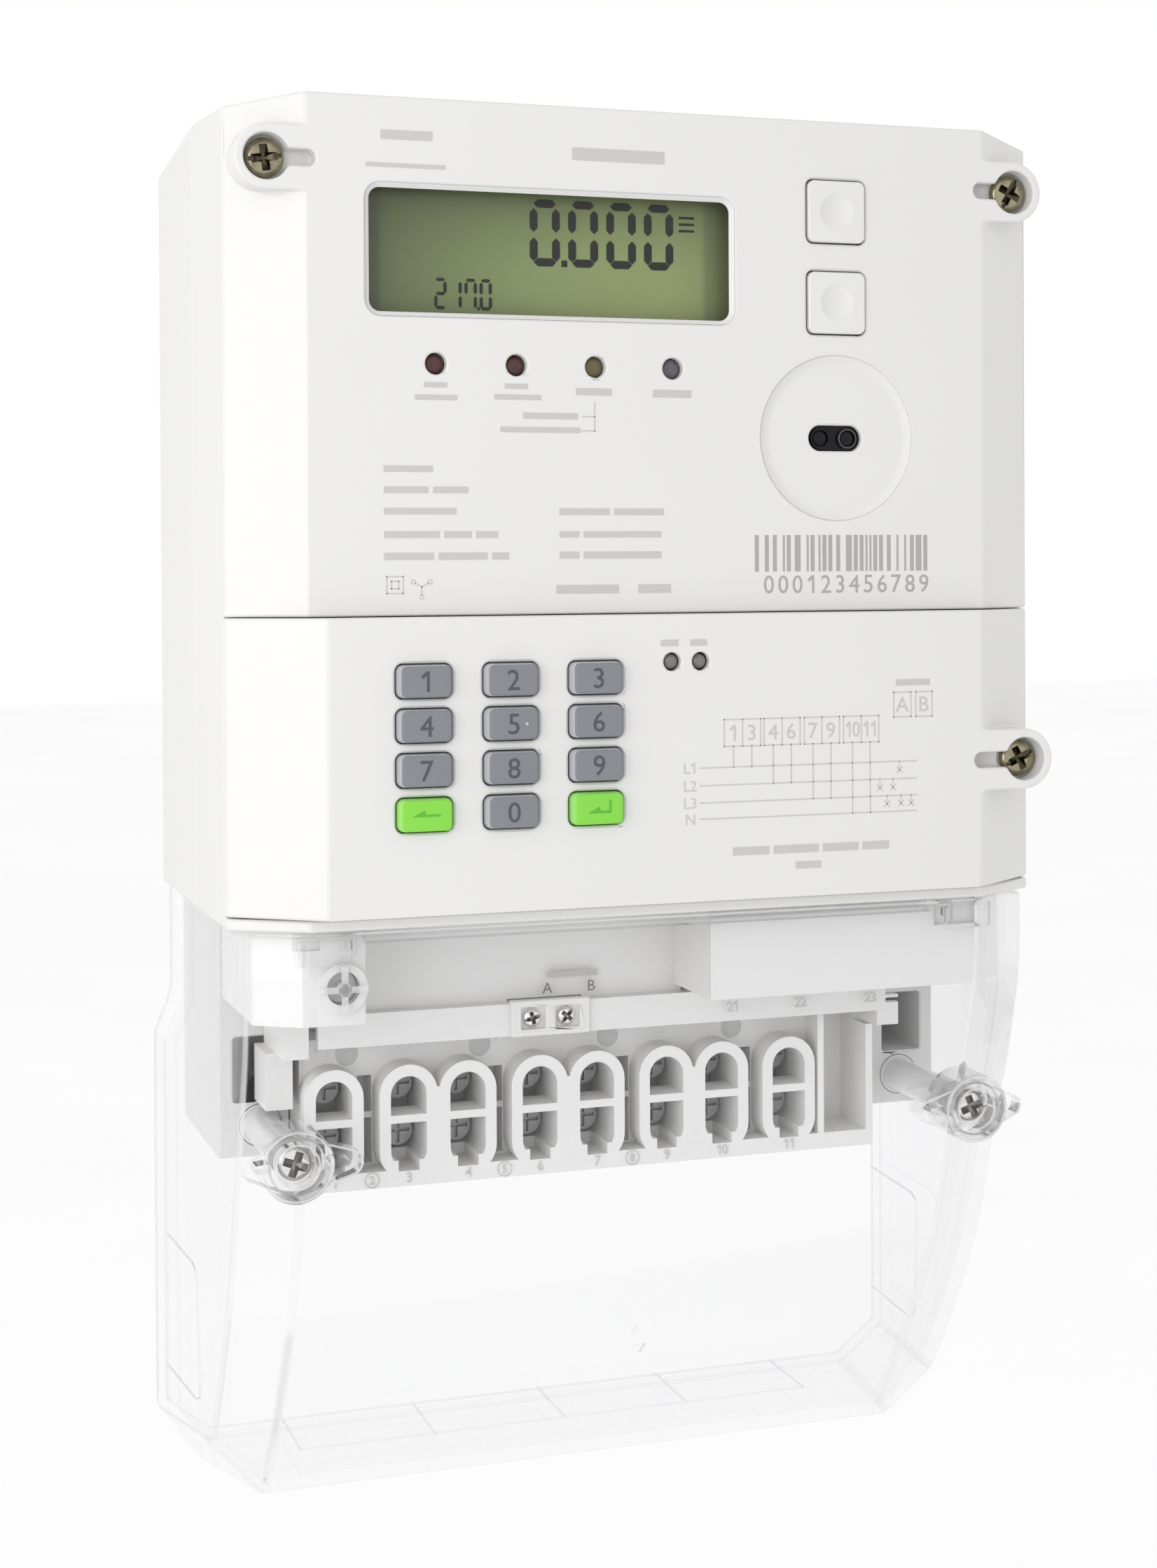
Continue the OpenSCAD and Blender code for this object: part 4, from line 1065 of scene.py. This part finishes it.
def clampBoss(side):
    boss = {"radius": 7.25, "well": 3.95, "post": 3.8, "bore": 2.1, "front": -79.5, "wellDepth": 4.6,
        "length": 9}
    x = side * clampX
    front = boss["front"]
    radius, well, post, bore = boss["radius"], boss["well"], boss["post"], boss["bore"]
    floor = front + boss["wellDepth"]
    back = front + boss["length"]
    foot = low("terminal_block", "y") + 14.2        # the posts end just before the base
    form = Form()
    form.tube(x, clampZ, [(well + 0.3, front), (well + 1.2, front + 0.25), (5.9, front + 0.25),
        (radius - 0.5, front), (radius, front + 0.5), (radius, back), (post, back + 1), (bore, back + 1),
        (bore, floor), (well, floor), (well, front + 0.3)], 64)
    form.tube(x, clampZ, [(post, back + 1.1), (post - 0.25, foot), (bore, foot), (bore, back + 1.1)], 64, 3)
    for reach, tip in ((-side * 10.4, 2.5), (side * 8.4, 2.3)):
        outer = teardrop(x, clampZ, 5.6, x + reach, tip)
        inner = teardrop(x + reach * 0.7, clampZ, 0.95, x + reach * 0.93, 0.75)
        ringPlate(form, outer, inner, front + 0.7, front + 4.6)
        # the wing rims take the whiter clear material: painted highlights
        rim = teardrop(x, clampZ, 5.25, x + reach, tip - 0.35)
        ringPlate(form, outer, rim, front + 0.35, front + 0.75, 2)
    for inner, rise, sink in ((6.5, 0.2, 0.4), (4.1, 0.15, 0.3)):       # thin rings on the face in the whiter clear material: painted highlights
        outer = inner + 0.3
        form.tube(x, clampZ, [(inner, front - rise), (outer, front - rise), (outer, front + sink),
            (inner, front + sink)], 64, 2)
    name = "left_clamp_boss" if side < 0 else "right_clamp_boss"
    coverPart(form, name, [clearBoss, shadedClearEdge, paintedHighlight, milkyPost])


def coverFittings():
    form = Form()
    plungerX, plungerZ, stop = spot("cover_plunger")[:3]
    stop -= 0.2
    inside = upperFace + clearCover["wall"] - 0.3
    # the plunger cross takes the whiter clear material: painted highlights
    form.bar(plungerX - 4.5, plungerX + 4.5, plungerZ - 0.6, plungerZ + 0.6, inside, stop - 0.9, 2)
    form.bar(plungerX - 0.6, plungerX + 0.6, plungerZ - 4.5, plungerZ + 4.5, inside, stop - 0.9, 2)
    form.lathe(plungerX, plungerZ, [(1.3, inside), (1.3, stop - 0.4), (0.9, stop), (0, stop)], 24, 2)
    lipEnd = clearCover["flat"] - 12
    lipY = upperFace + 3.4
    form.bar(-60, lipEnd, coverTop - 2.2, coverTop - 1.2, upperFace + 1.6, upperFace + 4.8)
    rib(form, (-60, lipY, coverTop - 0.3), (lipEnd, lipY, coverTop - 0.3), 1.0, 0.5, 1)
    boxFace = low("terminal_shroud", "y")
    for side in (-1, 1):        # lugs at the upper corners
        x = side * (clearCover["flat"] - 3)
        ringPlate(form, roundedOutline(x, coverTop - 3.4, 11, 5.6, 0.8),
            roundedOutline(x, coverTop - 3.4, 9.2, 3.8, 0.5), upperFace + 2.3, boxFace - 0.3)
        x = side * 63.2
        ringPlate(form, roundedOutline(x, coverTop - 2.6, 3, 4, 0.6),
            roundedOutline(x, coverTop - 2.6, 1.4, 2.2, 0.4), upperFace + 2.3, boxFace - 0.5)
    coverPart(form, "cover_fittings", [clearBoss, shadedClearEdge, paintedHighlight])


def innerWall(y, height):      # half width inside the side wall at a depth and a height
    back, crease = coverRing(height)[:2]
    t = (y - back[1]) / (crease[1] - back[1])
    return -(back[0] + (crease[0] - back[0]) * t + clearCover["wall"])


def knockOuts():        # thin ridges that mark the break-out panels of the clear cover
    ridge = {"width": 0.4, "height": 0.3}
    form = Form()
    deck = bottom + clearCover["wall"] + 0.1
    for x in (-60, -30, 0, 29, 58):
        rib(form, (x, -21.5, deck), (x, -0.6, deck), ridge["width"], ridge["height"])
    rib(form, (-60, -21.5, deck), (58, -21.5, deck), ridge["width"], ridge["height"])
    corners = [(-0.6, -137), (-25.5, -137), (-28, -138), (-29, -140.5), (-29, -162.5), (-28, -165),
        (-25.5, -166), (-0.6, -166)]
    for side in (-1, 1):
        spots = [(side * innerWall(y, height), y, seam + height) for y, height in corners]
        for start, end in zip(spots, spots[1:]):
            rib(form, start, end, ridge["width"], ridge["height"])
    tick = [(3.2, -154.5), (6.0, -154.2), (5.2, -156.2)]
    for (x0, h0), (x1, h1) in zip(tick, tick[1:]):
        rib(form, (x0, coverFront(h0) - 0.05, seam + h0), (x1, coverFront(h1) - 0.05, seam + h1), 0.4, 0.3)
    coverPart(form, "cover_knock_outs", [shadedClearEdge])


clearBoss = clear("clearBoss", (0.996, 0.996, 0.997, 1), grey(0.98), 0.012, 0.9)
clearShell()
clampBoss(-1)
clampBoss(1)
coverFittings()
knockOuts()
print("clear cover done")


# finishes of the CAD nodes that stay

finishes = {
    "case_gasket": rubber, "display_window": window, "display_panel": display, "display_holder": case,
    "main_board": board, "indicator_leds": redLens, "optical_steel_plate": steel, "optical_diodes": black,
    "display_switches": black, "keypad_mat": mat, "keypad_board": board, "keypad_plug": black,
    "keypad_socket": case, "keypad_board_screws": steel, "main_board_screws": steel,
    "terminal_cages": dullShadedSteel, "terminal_screws": dullShadedSteel, "terminal_busbars": copper,
    "current_transformers": blue, "disconnect_relays": black, "plunger_spring": steel,
    "plunger_switch": black, "supply_capacitors": blue, "backup_battery": wrap, "buzzer": black,
}
for node, material in finishes.items():
    nodes[node].data.materials.clear()
    nodes[node].data.materials.append(material)
for node, thing in nodes.items():       # replaced nodes keep a matching finish
    if node not in finishes:
        thing.data.materials.clear()
        thing.data.materials.append(clearWall if node == "terminal_cover" else case)
print("finishes set:", len(finishes))


# the studio

studio = {
    "sky": 1.0,
    "key": 1.55,            # watts
    "keySize": 0.5,         # metres, as is its place
    "keyPlace": (-0.5, -0.42, 0.1),
    "floorDrop": 350,       # millimetres below the cover
    "floorSize": 18000,
}


def floorFinish():
    paint = Paint("studioFloor")
    clouds = paint.noise(3, 2)
    return paint.finish(paint.surface({
        "Base Color": paint.blend(clouds, grey(0.95), grey(0.98)),
        "Roughness": 0.85 + clouds * 0.1,
    }))


def studioFloor():
    form = Form()
    level = bottom - studio["floorDrop"]
    half = studio["floorSize"] / 2
    corners = [(-half, -half, level), (half, -half, level), (half, half, level), (-half, half, level)]
    form.put(corners, [[0, 1, 2, 3]])
    floor = show("studio_floor", form.mesh("studio_floor"))
    floor.data.materials.append(floorFinish())


def lights():
    world = bpy.data.worlds.new("studioSky")
    world.use_nodes = True
    background = world.node_tree.nodes["Background"]
    background.inputs["Color"].default_value = grey(1)
    background.inputs["Strength"].default_value = studio["sky"]
    bpy.context.scene.world = world
    lamp = bpy.data.lights.new("keyLight", "AREA")
    lamp.energy = studio["key"]
    lamp.size = studio["keySize"]
    holder = show("keyLight", lamp)
    holder.location = studio["keyPlace"]
    holder.rotation_mode = "QUATERNION"
    holder.rotation_quaternion = (-holder.location).to_track_quat("-Z", "Y")


def camera():
    view = {
        "place": (-0.16728, -0.53064, 0.05228),
        "turn": 18.62,          # degrees, as are pitch and roll
        "pitch": 0.51,
        "roll": 0.31,
        "lens": 55.2,
        "sensor": 36,
        "shift": -0.1275,
    }
    a = math.radians(view["turn"])
    p = math.radians(view["pitch"])
    ahead = Vector((math.sin(a) * math.cos(p), math.cos(a) * math.cos(p), -math.sin(p)))
    data = bpy.data.cameras.new("camera")
    data.lens = view["lens"]
    data.sensor_width = view["sensor"]
    data.shift_y = view["shift"]
    holder = show("camera", data)
    holder.location = view["place"]
    holder.rotation_mode = "QUATERNION"
    roll = Quaternion(ahead, math.radians(view["roll"]))
    holder.rotation_quaternion = roll @ ahead.to_track_quat("-Z", "Y")
    bpy.context.scene.camera = holder


studioFloor()
lights()
camera()
bpy.context.scene.view_settings.view_transform = "Standard"
bpy.context.scene.cycles.transparent_max_bounces = 32       # the clear cover has many walls in line
print("studio ready")
